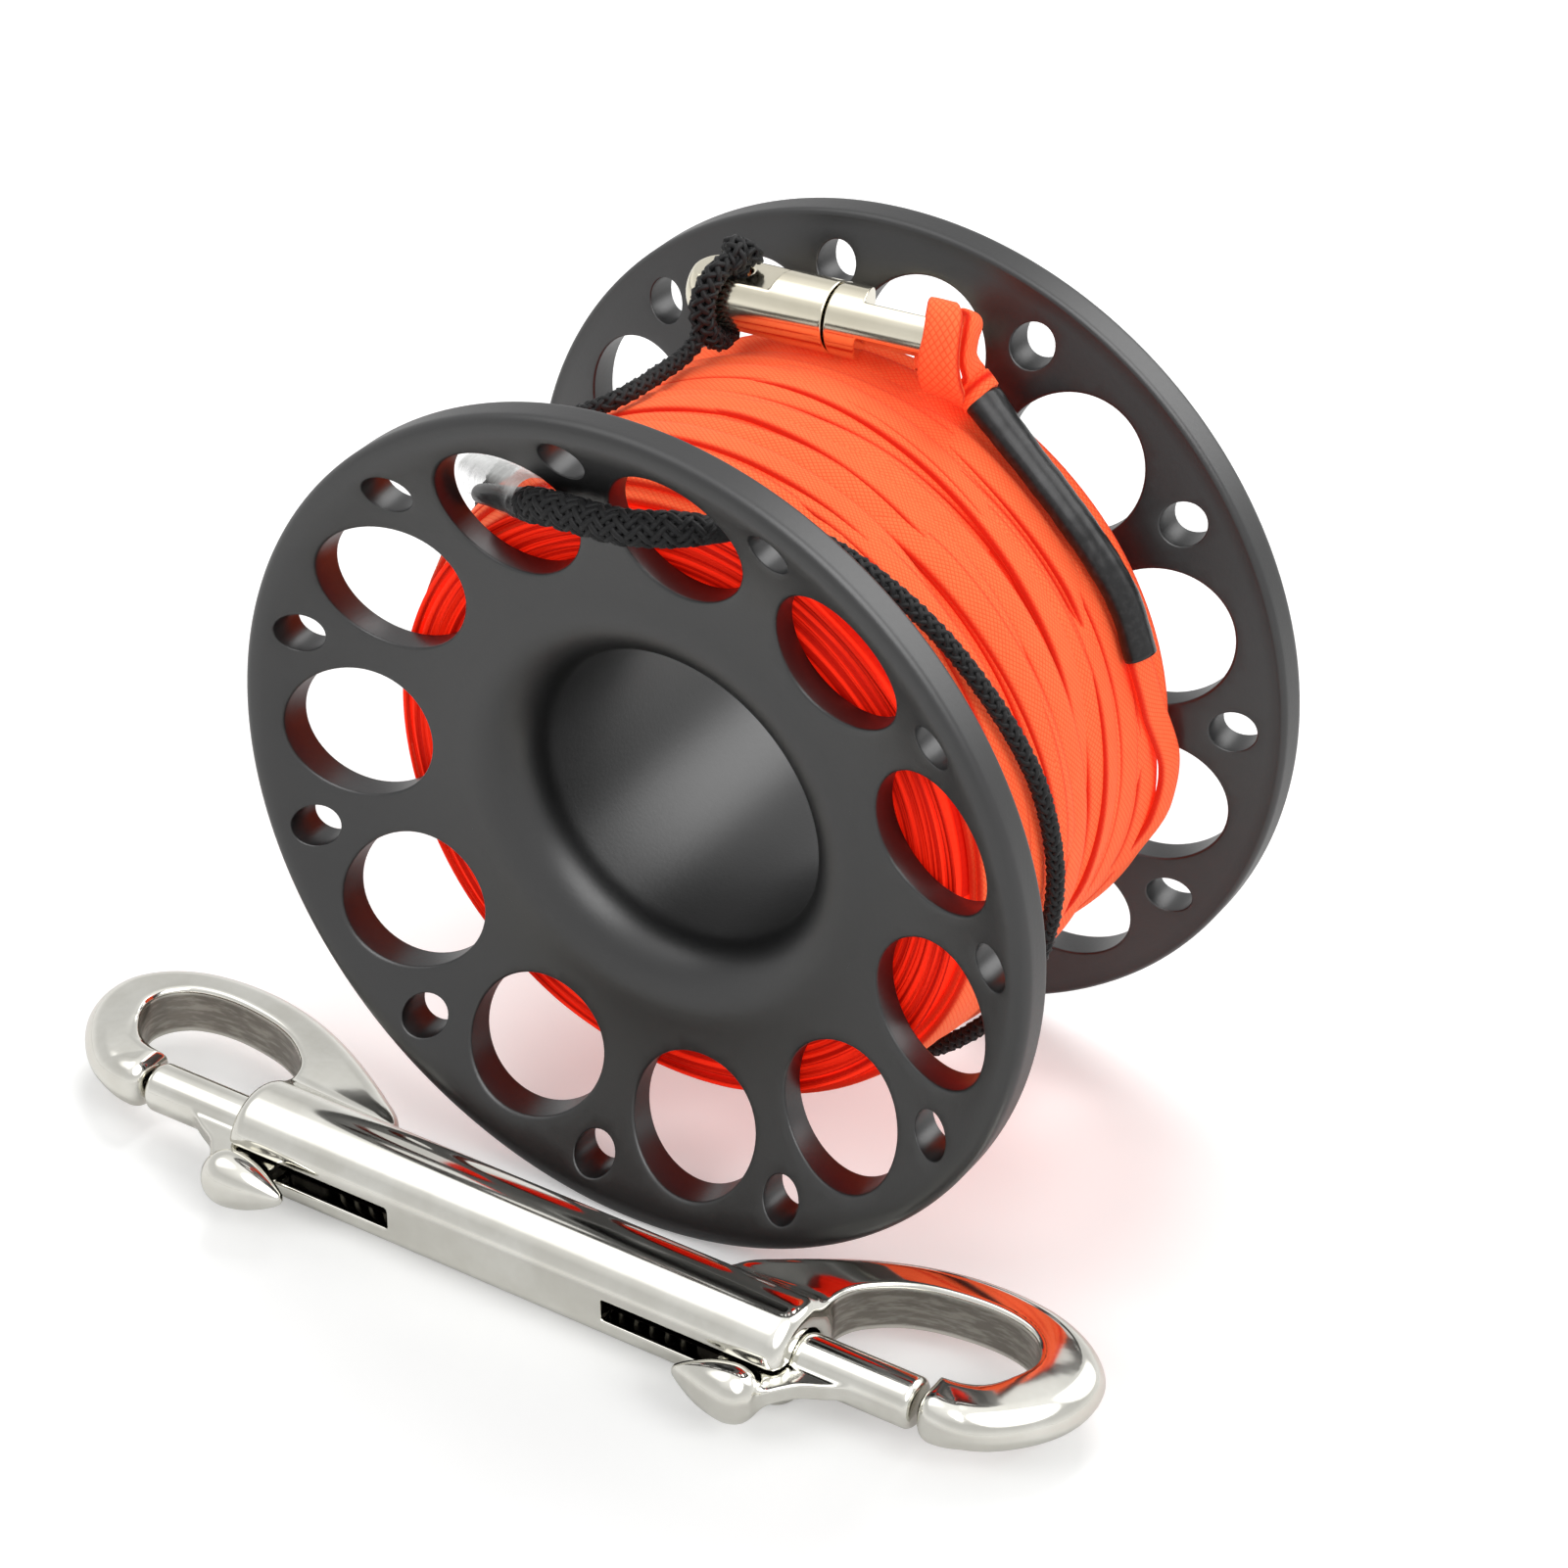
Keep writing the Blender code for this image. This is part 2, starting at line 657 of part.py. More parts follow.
def make_line_sleeve(surface, frame):
    route = smooth_route(sleeve_route, sleeve_step)
    directions = []
    flares = []
    for index in range(len(route)):
        directions.append(Vector((0, 1, 0)))
        share = index / (len(route) - 1)
        opening = max(0, share - sleeve_flare_start) / (1 - sleeve_flare_start)
        flares.append(1 + (sleeve_mouth_flare - 1) * opening)
    widths = [sleeve_half_width * flare for flare in flares]
    heights = [sleeve_half_height * flare for flare in flares]
    shape = swept(route, directions, widths, heights, oval_section)
    return place("line_sleeve", mesh_from("line_sleeve", *shape), surface, frame)


def barrel_outline(length, bore):
    """Half of the swivel's barrel from its seam at zero to its rounded end, along its axis."""
    seam = touch_gap / 2
    outline = bore + [(barrel_radius - seam_chamfer, seam), (barrel_radius, seam + seam_chamfer)]
    for angle in barrel_end_turns:
        radius = barrel_radius - barrel_end_round * (1 - cos(angle))
        outline.append((radius, length - barrel_end_round * (1 - sin(angle))))
    outline.append((0, length))
    return outline


def tang_cut(start, half_thickness, length, slant):
    """Two blocks that mill a barrel half flat above and below, along +X."""
    reach = length + cut_overrun
    side = barrel_radius + cut_overrun
    skew = side * sin(slant)
    shapes = []
    for sign in (-1, 1):
        near, far = sign * half_thickness, sign * side
        corners, faces = box((start, -side, min(near, far)), (reach, side, max(near, far)))
        corners = [(x + (skew * y / side if x == start else 0), y, z) for x, y, z in corners]
        shapes.append((corners, faces))
    return joined(shapes)


def mirrored_along(shape):
    vertices, faces = shape
    return [(-x, y, z) for x, y, z in vertices], faces


def eye_drill(inset, length, radius):
    reach = barrel_radius + cut_overrun
    vertices, faces = turned([(0, -reach), (radius, -reach), (radius, reach), (0, reach)], eye_sides, "X")
    return [(z + length - inset, y, x) for x, y, z in vertices], faces


def make_swivel(steel, frame):
    seam = touch_gap / 2
    head_back = pin_head_seat + pin_head_length + 2 * touch_gap
    neck_radius = pin_radius + touch_gap
    head_room = pin_head_radius + touch_gap
    bore = [(0, head_back), (head_room, head_back), (head_room, pin_head_seat)]
    bore += [(neck_radius, pin_head_seat), (neck_radius, seam)]
    outline = barrel_outline(cord_half_length, bore)
    shape = mirrored_along(turned(outline, barrel_sides, "X", pi / barrel_sides))
    cord_half = place("swivel_cord_half", mesh_from("swivel_cord_half", *shape), steel, frame)
    cut = mirrored_along(tang_cut(cord_tang_start, cord_tang_half, cord_half_length, cord_tang_slant))
    boolean(cord_half, "cord_tang_mill", cut)
    drill = mirrored_along(eye_drill(cord_eye_inset, cord_half_length, cord_eye_radius))
    boolean(cord_half, "cord_eye_drill", drill)

    bore = [(0, pin_depth), (neck_radius, pin_depth), (neck_radius, seam)]
    outline = barrel_outline(line_half_length, bore)
    shape = turned(outline, barrel_sides, "X", pi / barrel_sides)
    line_half = place("swivel_line_half", mesh_from("swivel_line_half", *shape), steel, frame)
    line_half.rotation_euler = (line_eye_roll, 0, 0)
    cut = tang_cut(line_tang_start, line_tang_half, line_half_length, -line_tang_slant)
    boolean(line_half, "line_tang_mill", cut, rotation=(line_eye_roll, 0, 0))
    drill = eye_drill(line_eye_inset, line_half_length, line_eye_radius)
    boolean(line_half, "line_eye_drill", drill, rotation=(line_eye_roll, 0, 0))

    head_start = -(pin_head_seat + touch_gap + pin_head_length)
    head_end = -(pin_head_seat + touch_gap)
    outline = [(0, head_start), (pin_head_radius, head_start), (pin_head_radius, head_end)]
    outline += [(pin_radius, head_end), (pin_radius, pin_depth - touch_gap), (0, pin_depth - touch_gap)]
    shape = turned(outline, pin_sides, "X")
    return place("swivel_pin", mesh_from("swivel_pin", *shape), steel, frame)


def make_line_end_loop(surface, frame, swivel_matrix):
    """The tape's way from the sleeve's mouth, over the swivel, through its eye and back."""
    roll = Matrix.Rotation(line_eye_roll, 3, "X")
    eye = Vector((line_half_length - line_eye_inset, 0, 0))
    mouth = Vector(sleeve_route[-1])
    heading = (Vector(sleeve_route[-1]) - Vector(sleeve_route[-2])).normalized()
    across = Vector((0, 1, 0))
    across = (across - heading * across.dot(heading)).normalized()
    lift = heading.cross(across).normalized()
    if lift.z < 0:
        lift = -lift
    into_swivel = swivel_matrix.inverted()
    turn = into_swivel.to_3x3()
    strand_gap = line_thickness / 2 + touch_gap * mouth_gap_share
    mouth_size = (line_width * mouth_tape_share, line_thickness * mouth_tape_share)
    rows = []

    def add(point, direction, width, thickness):
        rows.append((*point, *direction, width, thickness))

    def at_mouth(side, ahead, direction):
        point = mouth + heading * ahead + lift * side * strand_gap
        add(into_swivel @ point, turn @ direction, *mouth_size)

    for ahead in mouth_leads:
        at_mouth(-1, ahead, across)
    for place_mm, direction, width, thickness in loop_route:
        point = eye + roll @ (Vector(place_mm) * mm)
        add(point, roll @ Vector(direction), width * mm, thickness * mm)
    for ahead in reversed(mouth_leads):
        at_mouth(1, ahead, across)
    # A width turned end for end is the same tape, so each direction follows the one before it
    for index in range(1, len(rows)):
        before, row = rows[index - 1], rows[index]
        if sum(before[3 + axis] * row[3 + axis] for axis in range(3)) < 0:
            rows[index] = (*row[:3], *[-value for value in row[3:6]], *row[6:])
    route = smooth_route(rows, loop_step)
    half_widths, half_heights = route[:, 6] / 2, route[:, 7] / 2
    vertices, faces = swept(route[:, :3], route[:, 3:6], half_widths, half_heights, flat_section)
    least = least_own_gap(route, vertices, loop_skipped_places)
    print("line_end_loop: least gap to itself", round(least / mm, 3), "mm")
    return place("line_end_loop", mesh_from("line_end_loop", vertices, faces), surface, frame)


def shifted(route, first_shift, last_shift):
    """A route's places moved along Y, by the first shift at its start and by the last one at its end."""
    shifts = np.linspace(first_shift, last_shift, len(route))
    return [(point.x, point.y + shift, point.z) for point, shift in zip(route, shifts)]


def make_lanyard(surface, band_surface, frame, swivel_frame):
    eye = Vector((-(cord_half_length - cord_eye_inset), 0, 0))
    rows = [(*(eye + Vector(point) * mm), radius * mm) for point, radius in knot_route]
    route = smooth_route(rows, knot_step)
    tube_curve("lanyard_knot", route[:, :3], cord_radius, surface, swivel_frame, radii=route[:, 3])
    route = smooth_route(shifted(lanyard_route, far_shift, near_shift), cord_step)
    tube_curve("lanyard_cord", route, cord_radius, surface, frame)
    route = smooth_route(shifted(splice_route, near_shift, near_shift), splice_step)
    tube_curve("lanyard_splice", route, splice_radius, surface, frame)
    places = shifted([Vector(point) * mm for point, _ in tail_route], near_shift, near_shift)
    rows = [(*point, radius * mm) for point, (_, radius) in zip(places, tail_route)]
    route = smooth_route(rows, tail_step)
    tube_curve("lanyard_end_sleeve", route[:, :3], band_radius, band_surface, frame, radii=route[:, 3])


def hook_shape():
    """One hook as sections from its tip round the eye into the tube, for the +X end."""
    outer = [Vector((along * snap_half_length, side * hook_reach)) for along, side in hook_outer_shares]
    inner = [Vector((along * snap_half_length, side * hook_reach)) for along, side in hook_inner_shares]
    vertices = []
    for out_point, in_point in zip(outer, inner):
        width = (out_point - in_point).length
        toward = (out_point - in_point) / width
        rim = min(hook_outer_round, width / 2)
        marks = [(0, hook_half_thickness - hook_inner_chamfer), (hook_inner_chamfer, hook_half_thickness)]
        for inset_share, height_share in hook_round_shares:
            marks.append((width - rim * inset_share, hook_half_thickness * height_share))
        section = marks + [(along, -height) for along, height in reversed(marks)]
        for along, height in section:
            spot = in_point + toward * along
            vertices.append((spot.x, spot.y, height))
    sides = 2 * (2 + len(hook_round_shares))
    rings = len(outer)
    faces = [tuple(range(sides)), tuple((rings - 1) * sides + side for side in range(sides))]
    for ring in range(rings - 1):
        for side in range(sides):
            ahead = (side + 1) % sides
            low, high = ring * sides, (ring + 1) * sides
            faces.append((low + side, low + ahead, high + ahead, high + side))
    return vertices, faces


def make_snap_body(steel, frame):
    half = snap_tube_half_length
    outline = [(0, -half), (snap_tube_radius - snap_tube_round, -half)]
    outline.append((snap_tube_radius, -half + snap_tube_round))
    outline += [(radius, -along) for radius, along in reversed(outline)]
    phase = -pi / 2 + pi / snap_tube_sides
    tube = turned(outline, snap_tube_sides, "X", phase)
    body = place("snap_body", mesh_from("snap_body", *tube), steel, frame)
    boolean(body, "snap_hook_right", hook_shape(), "UNION")
    boolean(body, "snap_hook_left", mirrored_along(hook_shape()), "UNION")

    low = (-half - cut_overrun, -snap_tube_radius - cut_overrun, -snap_tube_radius - cut_overrun)
    high = (half + cut_overrun, -snap_flat_distance, snap_tube_radius + cut_overrun)
    boolean(body, "snap_flat", box(low, high))

    reach = half + cut_overrun
    start = snap_wall_behind_spring
    end = hook_tip_place
    outline = [(0, start), (gate_bore_radius, start), (gate_bore_radius, end), (0, end)]
    bore = turned(outline, gate_bore_sides, "X", pi / gate_bore_sides)
    boolean(body, "snap_bores", joined([bore, mirrored_along(bore)]))

    low = (slot_end, -snap_tube_radius - cut_overrun, -slot_height / 2)
    slot = box(low, (reach, 0, slot_height / 2))
    boolean(body, "snap_slots", joined([slot, mirrored_along(slot)]))
    return body


def knob_shape():
    """Teardrop thumb knob, round towards the gate's tip."""
    start = knob_outer_end - knob_length
    outline = [(share, start + knob_length * along) for along, share in knob_profile_shares]
    vertices, faces = turned(outline, knob_sides, "X")
    sized = [(x, y * knob_half_depth - knob_centre, z * knob_half_height) for x, y, z in vertices]
    return sized, faces


def web_shape():
    half_height = slot_height / 2 - touch_gap
    rim = [(web_root - web_length * along, -knob_centre * side) for along, side in web_shares]
    count = len(rim)
    vertices = [(x, y, height) for height in (-half_height, half_height) for x, y in rim]
    faces = [tuple(range(count)), tuple(range(count, 2 * count))]
    for index in range(count):
        ahead = (index + 1) % count
        faces.append((index, ahead, count + ahead, count + index))
    return vertices, faces


def make_gate(name, steel, frame, side):
    tip = hook_tip_place - touch_gap
    outline = [(0, gate_rear), (gate_radius, gate_rear), (gate_radius, tip - gate_tip_round)]
    outline += [(gate_radius - gate_tip_round, tip), (0, tip)]
    rod = turned(outline, gate_sides, "X", pi / gate_sides)
    web = web_shape()
    knob = knob_shape()
    if side < 0:
        rod, web, knob = mirrored_along(rod), mirrored_along(web), mirrored_along(knob)
    gate = place(name, mesh_from(name, *rod), steel, frame)
    boolean(gate, name + "_web", web, "UNION")
    boolean(gate, name + "_knob", knob, "UNION")
    return gate


def make_spring(name, steel, frame, side):
    start = snap_wall_behind_spring + touch_gap + spring_wire_radius
    end = gate_rear - touch_gap - spring_wire_radius
    coil_radius = gate_bore_radius - 2 * touch_gap - spring_wire_radius
    count = spring_curls * spring_points_per_curl
    points = []
    for step in range(count + 1):
        angle = tau * step / spring_points_per_curl
        along = start + (end - start) * step / count
        points.append((side * along, coil_radius * cos(angle), coil_radius * sin(angle)))
    return tube_curve(name, points, spring_wire_radius, steel, frame, 1)


def build():
    clear_scene()
    anodised = material("black_anodised", (0.035, 0.036, 0.040), 0.42, 0.6)
    line = material("orange_line", (0.95, 0.09, 0.03), 0.65, 0.0)
    shrink = material("shrink_sleeve", (0.02, 0.02, 0.022), 0.25, 0.0)
    steel = material("polished_steel", (0.74, 0.72, 0.68), 0.18, 1.0)
    spring_steel = material("spring_steel", (0.45, 0.45, 0.44), 0.35, 1.0)
    black_cord = material("black_cord", (0.02, 0.02, 0.022), 0.8, 0.0)

    spool_frame = empty("spool_frame", (spool_offset_x, spool_y, spool_z))
    swivel_frame = empty("swivel_frame", swivel_centre, (0, -swivel_pitch, swivel_yaw), spool_frame)
    swivel_matrix = Matrix.LocRotScale(swivel_centre, swivel_frame.rotation_euler, None)
    snap_frame = empty("snap_frame", (0, snap_y, snap_z))

    make_spool(anodised, spool_frame)
    make_line_core(line, spool_frame)
    make_line_winding(line, spool_frame)
    make_line_sleeve(shrink, spool_frame)
    make_swivel(steel, swivel_frame)
    make_line_end_loop(line, swivel_frame, swivel_matrix)
    make_lanyard(black_cord, shrink, spool_frame, swivel_frame)
    make_snap_body(steel, snap_frame)
    for word, side in (("left", -1), ("right", 1)):
        make_gate("gate_" + word, steel, snap_frame, side)
        make_spring("spring_" + word, spring_steel, snap_frame, side)


build()
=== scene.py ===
import json
from math import cos, pi, radians, sin, tau

import bmesh
import bpy
import numpy as np
from mathutils import Matrix, Vector
from mathutils.geometry import delaunay_2d_cdt

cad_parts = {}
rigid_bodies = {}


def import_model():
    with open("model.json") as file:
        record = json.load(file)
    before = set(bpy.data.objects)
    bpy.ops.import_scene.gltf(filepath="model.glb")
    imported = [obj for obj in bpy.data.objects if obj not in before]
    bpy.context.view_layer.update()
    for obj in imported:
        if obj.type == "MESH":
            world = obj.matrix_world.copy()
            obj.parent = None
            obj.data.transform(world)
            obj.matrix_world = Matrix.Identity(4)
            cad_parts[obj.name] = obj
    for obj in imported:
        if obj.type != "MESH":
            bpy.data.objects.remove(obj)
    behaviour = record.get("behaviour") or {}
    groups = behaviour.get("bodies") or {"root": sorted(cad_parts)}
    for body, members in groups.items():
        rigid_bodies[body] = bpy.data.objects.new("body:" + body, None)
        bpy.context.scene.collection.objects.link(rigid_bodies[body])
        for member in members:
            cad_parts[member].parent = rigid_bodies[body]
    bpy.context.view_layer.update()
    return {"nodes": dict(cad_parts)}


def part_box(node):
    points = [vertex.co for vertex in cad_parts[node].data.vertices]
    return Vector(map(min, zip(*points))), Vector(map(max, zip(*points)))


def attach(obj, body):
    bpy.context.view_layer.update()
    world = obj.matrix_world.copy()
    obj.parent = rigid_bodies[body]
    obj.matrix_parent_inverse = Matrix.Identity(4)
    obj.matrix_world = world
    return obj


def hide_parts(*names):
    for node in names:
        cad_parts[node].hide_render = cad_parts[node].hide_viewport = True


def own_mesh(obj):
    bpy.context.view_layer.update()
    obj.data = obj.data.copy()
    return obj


for thing in list(bpy.data.objects):
    bpy.data.objects.remove(thing)
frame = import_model()
mm = 0.001

# where things stand in the frame
lowSpool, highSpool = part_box("spool")
spoolCentre = (lowSpool + highSpool) / 2
layout = {
    "swivelCentre": Vector((-1.5, 14.6, 38.0)) * mm,
    "swivelYaw": radians(2.0),
    "swivelPitch": radians(2.2),
    # how far behind the swivel's centre its eye for the cord is, in mm
    "cordEyeBehind": 11.9,
    "snapAxisAhead": 40.4 * mm,
    "snapAxisHeight": 5.366 * mm,
}
spoolFrame = Matrix.Translation(spoolCentre)
swivelTurn = Matrix.Rotation(layout["swivelYaw"], 4, "Z") @ Matrix.Rotation(-layout["swivelPitch"], 4, "Y")
swivelFrame = spoolFrame @ Matrix.Translation(layout["swivelCentre"]) @ swivelTurn
snapFrame = Matrix.Translation((0, spoolCentre.y - layout["snapAxisAhead"], layout["snapAxisHeight"]))


# the photo's camera
camera = {
    "azimuth": radians(32.611),
    "elevation": radians(33.402),
    "distance": 439.4 * mm,
    "aimRight": 1.191 * mm,
    "aimUp": -6.274 * mm,
    "lens": 101.66,
    "filmWidth": 36,
    "near": 0.01,
    "far": 20,
}


def makeCamera():
    a, e = camera["azimuth"], camera["elevation"]
    back = Vector((sin(a) * cos(e), -cos(a) * cos(e), sin(e)))
    right = Vector((cos(a), sin(a), 0))
    up = back.cross(right)
    data = bpy.data.cameras.new("photoCamera")
    data.sensor_width = camera["filmWidth"]
    data.lens = camera["lens"]
    data.clip_start, data.clip_end = camera["near"], camera["far"]
    eye = bpy.data.objects.new("photoCamera", data)
    bpy.context.scene.collection.objects.link(eye)
    eye.location = spoolCentre + right * camera["aimRight"] + up * camera["aimUp"] + back * camera["distance"]
    eye.rotation_euler = back.to_track_quat("Z", "Y").to_euler()
    bpy.context.scene.camera = eye


makeCamera()


# finishes
class Wire:
    # a socket that takes part in sums
    def __init__(self, tree, socket):
        self.tree, self.socket = tree, socket

    def sum(self, operation, first, second=0.0):
        return self.tree.node("ShaderNodeMath", {"operation": operation}, {0: first, 1: second})

    def __add__(self, other):
        return self.sum("ADD", self, other)

    def __radd__(self, other):
        return self.sum("ADD", other, self)

    def __sub__(self, other):
        return self.sum("SUBTRACT", self, other)

    def __rsub__(self, other):
        return self.sum("SUBTRACT", other, self)

    def __mul__(self, other):
        return self.sum("MULTIPLY", self, other)

    def __truediv__(self, other):
        return self.sum("DIVIDE", self, other)

    def __mod__(self, other):
        return self.sum("MODULO", self, other)

    def __abs__(self):
        return self.sum("ABSOLUTE", self)

    def sine(self):
        return self.sum("SINE", self)

    def cosine(self):
        return self.sum("COSINE", self)

    def floor(self):
        return self.sum("FLOOR", self)

    def least(self, other):
        return self.sum("MINIMUM", self, other)

    def most(self, other):
        return self.sum("MAXIMUM", self, other)

    def step(self, low, high):
        inputs = {0: self, 1: low, 2: high}
        return self.tree.node("ShaderNodeMapRange", {"interpolation_type": "SMOOTHSTEP"}, inputs)

    def output(self, index):
        return Wire(self.tree, self.socket.node.outputs[index])


class Tree:
    # a node tree; node() makes any node from its type, settings and inputs
    def feed(self, socket, value):
        if isinstance(value, Wire):
            self.tree.links.new(value.socket, socket)
        elif socket.type == "RGBA":
            socket.default_value = (*value, 1)
        else:
            socket.default_value = value

    def node(self, kind, settings=None, inputs=None, output=0):
        made = self.tree.nodes.new(kind)
        for key, value in (settings or {}).items():
            setattr(made, key, value)
        for key, value in (inputs or {}).items():
            self.feed(made.inputs[key], value)
        return Wire(self, made.outputs[output])


class Finish(Tree):
    def __init__(self, name, **values):
        self.material = bpy.data.materials.new(name)
        self.material.use_nodes = True
        self.tree = self.material.node_tree
        self.shader = self.tree.nodes["Principled BSDF"]
        self.set(**values)

    def set(self, **values):
        for key, value in values.items():
            self.feed(self.shader.inputs[key.replace("_", " ")], value)
        return self.material

    def place(self):
        return self.node("ShaderNodeTexCoord", output="Object")

    def flow(self):
        # the piece's own UV, in mm: along it and across it
        parts = self.split(self.node("ShaderNodeUVMap", {"uv_map": "flow"}))
        return parts[0], parts[1]

    def marked(self, name):
        # a value that the mesh carries for each of its points
        return self.node("ShaderNodeAttribute", {"attribute_name": name}, output="Fac")

    def split(self, vector):
        parts = self.node("ShaderNodeSeparateXYZ", inputs={0: vector})
        return parts, parts.output(1), parts.output(2)

    def noise(self, vector, scale, detail=2.0, roughness=0.5):
        inputs = {"Vector": vector, "Scale": scale, "Detail": detail, "Roughness": roughness}
        return self.node("ShaderNodeTexNoise", inputs=inputs)

    def along(self, values, paces, detail=2.0, roughness=0.5):
        # noise over two or three values, each at its own pace
        spot = self.stretched(*[value * pace for value, pace in zip(values, paces)])
        return self.noise(spot, 1.0, detail, roughness)

    def stretched(self, x, y, z=0.0):
        return self.node("ShaderNodeCombineXYZ", inputs={0: x, 1: y, 2: z})

    def mixed(self, factor, first, second):
        return self.node("ShaderNodeMix", {"data_type": "RGBA"}, {0: factor, 6: first, 7: second}, 2)

    def bump(self, height, distance, strength=1.0):
        inputs = {"Height": height, "Distance": distance, "Strength": strength}
        return self.node("ShaderNodeBump", inputs=inputs)


# black anodising: clouds of slightly lighter tone over a fine etched grain
anodised = {
    "dark": (0.0045, 0.0045, 0.0048),
    "light": (0.0075, 0.0075, 0.0079),
    "ior": 1.75,
    "cloudScale": 60,
    "lightFrom": 0.35,
    "lightTo": 0.7,
    "grainScale": 2600,
    "grainDepth": 0.010 * mm,
    "rough": 0.32,
    "roughByCloud": 0.05,
    "roughByGrain": 0.07,
}


def makeAnodised():
    a = anodised
    f = Finish("blackAnodised", Metallic=0.0, IOR=a["ior"])
    spot = f.place()
    cloud = f.noise(spot, a["cloudScale"], 3)
    grain = f.noise(spot, a["grainScale"], 2, 0.6)
    colour = f.mixed(cloud.step(a["lightFrom"], a["lightTo"]), a["dark"], a["light"])
    rough = a["rough"] + cloud * a["roughByCloud"] + grain * a["roughByGrain"]
    return f.set(Base_Color=colour, Roughness=rough, Normal=f.bump(grain, a["grainDepth"]))


# flat braided line; weights say how much of the lit colour each pattern gives; the raised stitches are
# painted lit and their dips painted shade, under random fibre and patch tone
lineCloth = {
    "lit": (1.0, 0.195, 0.066),
    "deepAndShaded": (0.94, 0.050, 0.014),
    # painted shade: the darker red of the tape's edges and of the grooves between the turns
    "edge": (0.60, 0.006, 0.0015),
    "sheen": (1.0, 0.42, 0.22),
    "sheenWeight": 0.24,
    "sheenRough": 0.45,
    "paintedGlow": (1.0, 0.055, 0.018),
    "paintedGlowStrength": 0.20,
    "stitchFull": 0.6,
    "stitchWeight": 0.62,
    "fibreWeight": 0.38,
    "patchWeight": 0.2,
    "patchScale": 120,
    # how fast the fibres change along and across, per mm
    "fibres": (0.6, 5.0),
    "fibreReliefShare": 0.25,
    "edgeShadeWander": 0.14,
    "relief": 0.05 * mm,
    "reliefStrength": 0.7,
    "rough": 0.72,
    "smoothByStitch": 0.12,
    "specular": 0.15,
}
# the weave's pitch along and across, a quarter of the way round it, and where its painted edge shade fades
# in, in mm
weaves = {
    "winding": {"along": 0.66, "across": 0.52, "quarter": 1.97, "edgeShadeFrom": 1.15, "edgeShadeTo": 1.86},
    "loop": {"along": 0.86, "across": 0.52, "quarter": 1.78, "edgeShadeFrom": 1.12, "edgeShadeTo": 1.75},
}


def makeLineCloth(name, weave):
    # the flow runs round the tape, so a side's middle comes a quarter of the way round after each edge
    c = lineCloth
    f = Finish(name, Metallic=0.0, Specular_IOR_Level=c["specular"])
    f.set(Sheen_Weight=c["sheenWeight"], Sheen_Roughness=c["sheenRough"], Sheen_Tint=c["sheen"])
    # painted glow: the line is given a little light of its own, which lifts its colour; its dye is
    # fluorescent
    f.set(Emission_Color=c["paintedGlow"], Emission_Strength=c["paintedGlowStrength"])
    u, v = f.flow()
    a, b = u * (pi / weave["along"]), v * (pi / weave["across"])
    left, right = abs((a + b).sine()), abs((a - b).sine())
    stitch = left.least(right)
    fibre = f.along((u, v), c["fibres"])
    patch = f.noise(f.place(), c["patchScale"])
    tone = stitch.step(0.0, c["stitchFull"]) * c["stitchWeight"] + fibre * c["fibreWeight"]
    # painted highlight on the raised stitches and painted shade in their dips, mixed with the random tone of
    # fibres and patches
    colour = f.mixed(tone + patch * c["patchWeight"], c["deepAndShaded"], c["lit"])
    quarter = weave["quarter"]
    aside = abs(v % (2 * quarter) - quarter) + (fibre - 0.5) * c["edgeShadeWander"]
    # painted shade: each tape turns a darker red towards its edges
    colour = f.mixed(aside.step(weave["edgeShadeFrom"], weave["edgeShadeTo"]), colour, c["edge"])
    relief = f.bump(stitch + fibre * c["fibreReliefShare"], c["relief"], c["reliefStrength"])
    return f.set(Base_Color=colour, Roughness=c["rough"] - stitch * c["smoothByStitch"], Normal=relief)


# the edges of many turns, seen from the side, painted darker in the grooves between them, with a painted glow
stackCloth = {
    "lit": (1.0, 0.042, 0.012),
    "paintedGlow": (1.0, 0.014, 0.003),
    "foldShadeGlow": (0.30, 0.002, 0.0005),
    "glow": 0.48,
    # how fast the patterns change along the turn and out from the hub, per mm
    "streaks": (0.018, 1.9),
    "fineStreaks": (0.10, 6.0),
    "weavePitch": 0.9,
    "weaveSlant": 2.0,
    "grooveFrom": 0.42,
    "grooveTo": 0.56,
    "grooveWeight": 0.8,
    "fineWeight": 0.2,
    "weaveWeight": 0.06,
    "fineReliefShare": 0.35,
    "weaveReliefShare": 0.12,
    "relief": 0.16 * mm,
    "rough": 0.7,
    "smoothByGroove": 0.05,
}


def makeLineStack():
    c = stackCloth
    f = Finish("orangeLineStack", Metallic=0.0, Specular_IOR_Level=lineCloth["specular"])
    u, v = f.flow()
    streak = f.along((u, v), c["streaks"], 3, 0.55)
    fine = f.along((u, v), c["fineStreaks"], 2, 0.6)
    weave = abs((u * (pi / c["weavePitch"]) + v * c["weaveSlant"]).sine())
    groove = streak.step(c["grooveFrom"], c["grooveTo"])
    # painted glow, dimmed in the grooves as painted shade
    f.set(Emission_Color=f.mixed(groove, c["foldShadeGlow"], c["paintedGlow"]), Emission_Strength=c["glow"])
    tone = groove * c["grooveWeight"] + fine * c["fineWeight"] + weave * c["weaveWeight"]
    # painted shade: the grooves between the turns take the tape's shaded edge colour
    colour = f.mixed(tone, lineCloth["edge"], c["lit"])
    height = groove + fine * c["fineReliefShare"] + weave * c["weaveReliefShare"]
    relief = f.bump(height, c["relief"])
    return f.set(Base_Color=colour, Roughness=c["rough"] - groove * c["smoothByGroove"], Normal=relief)


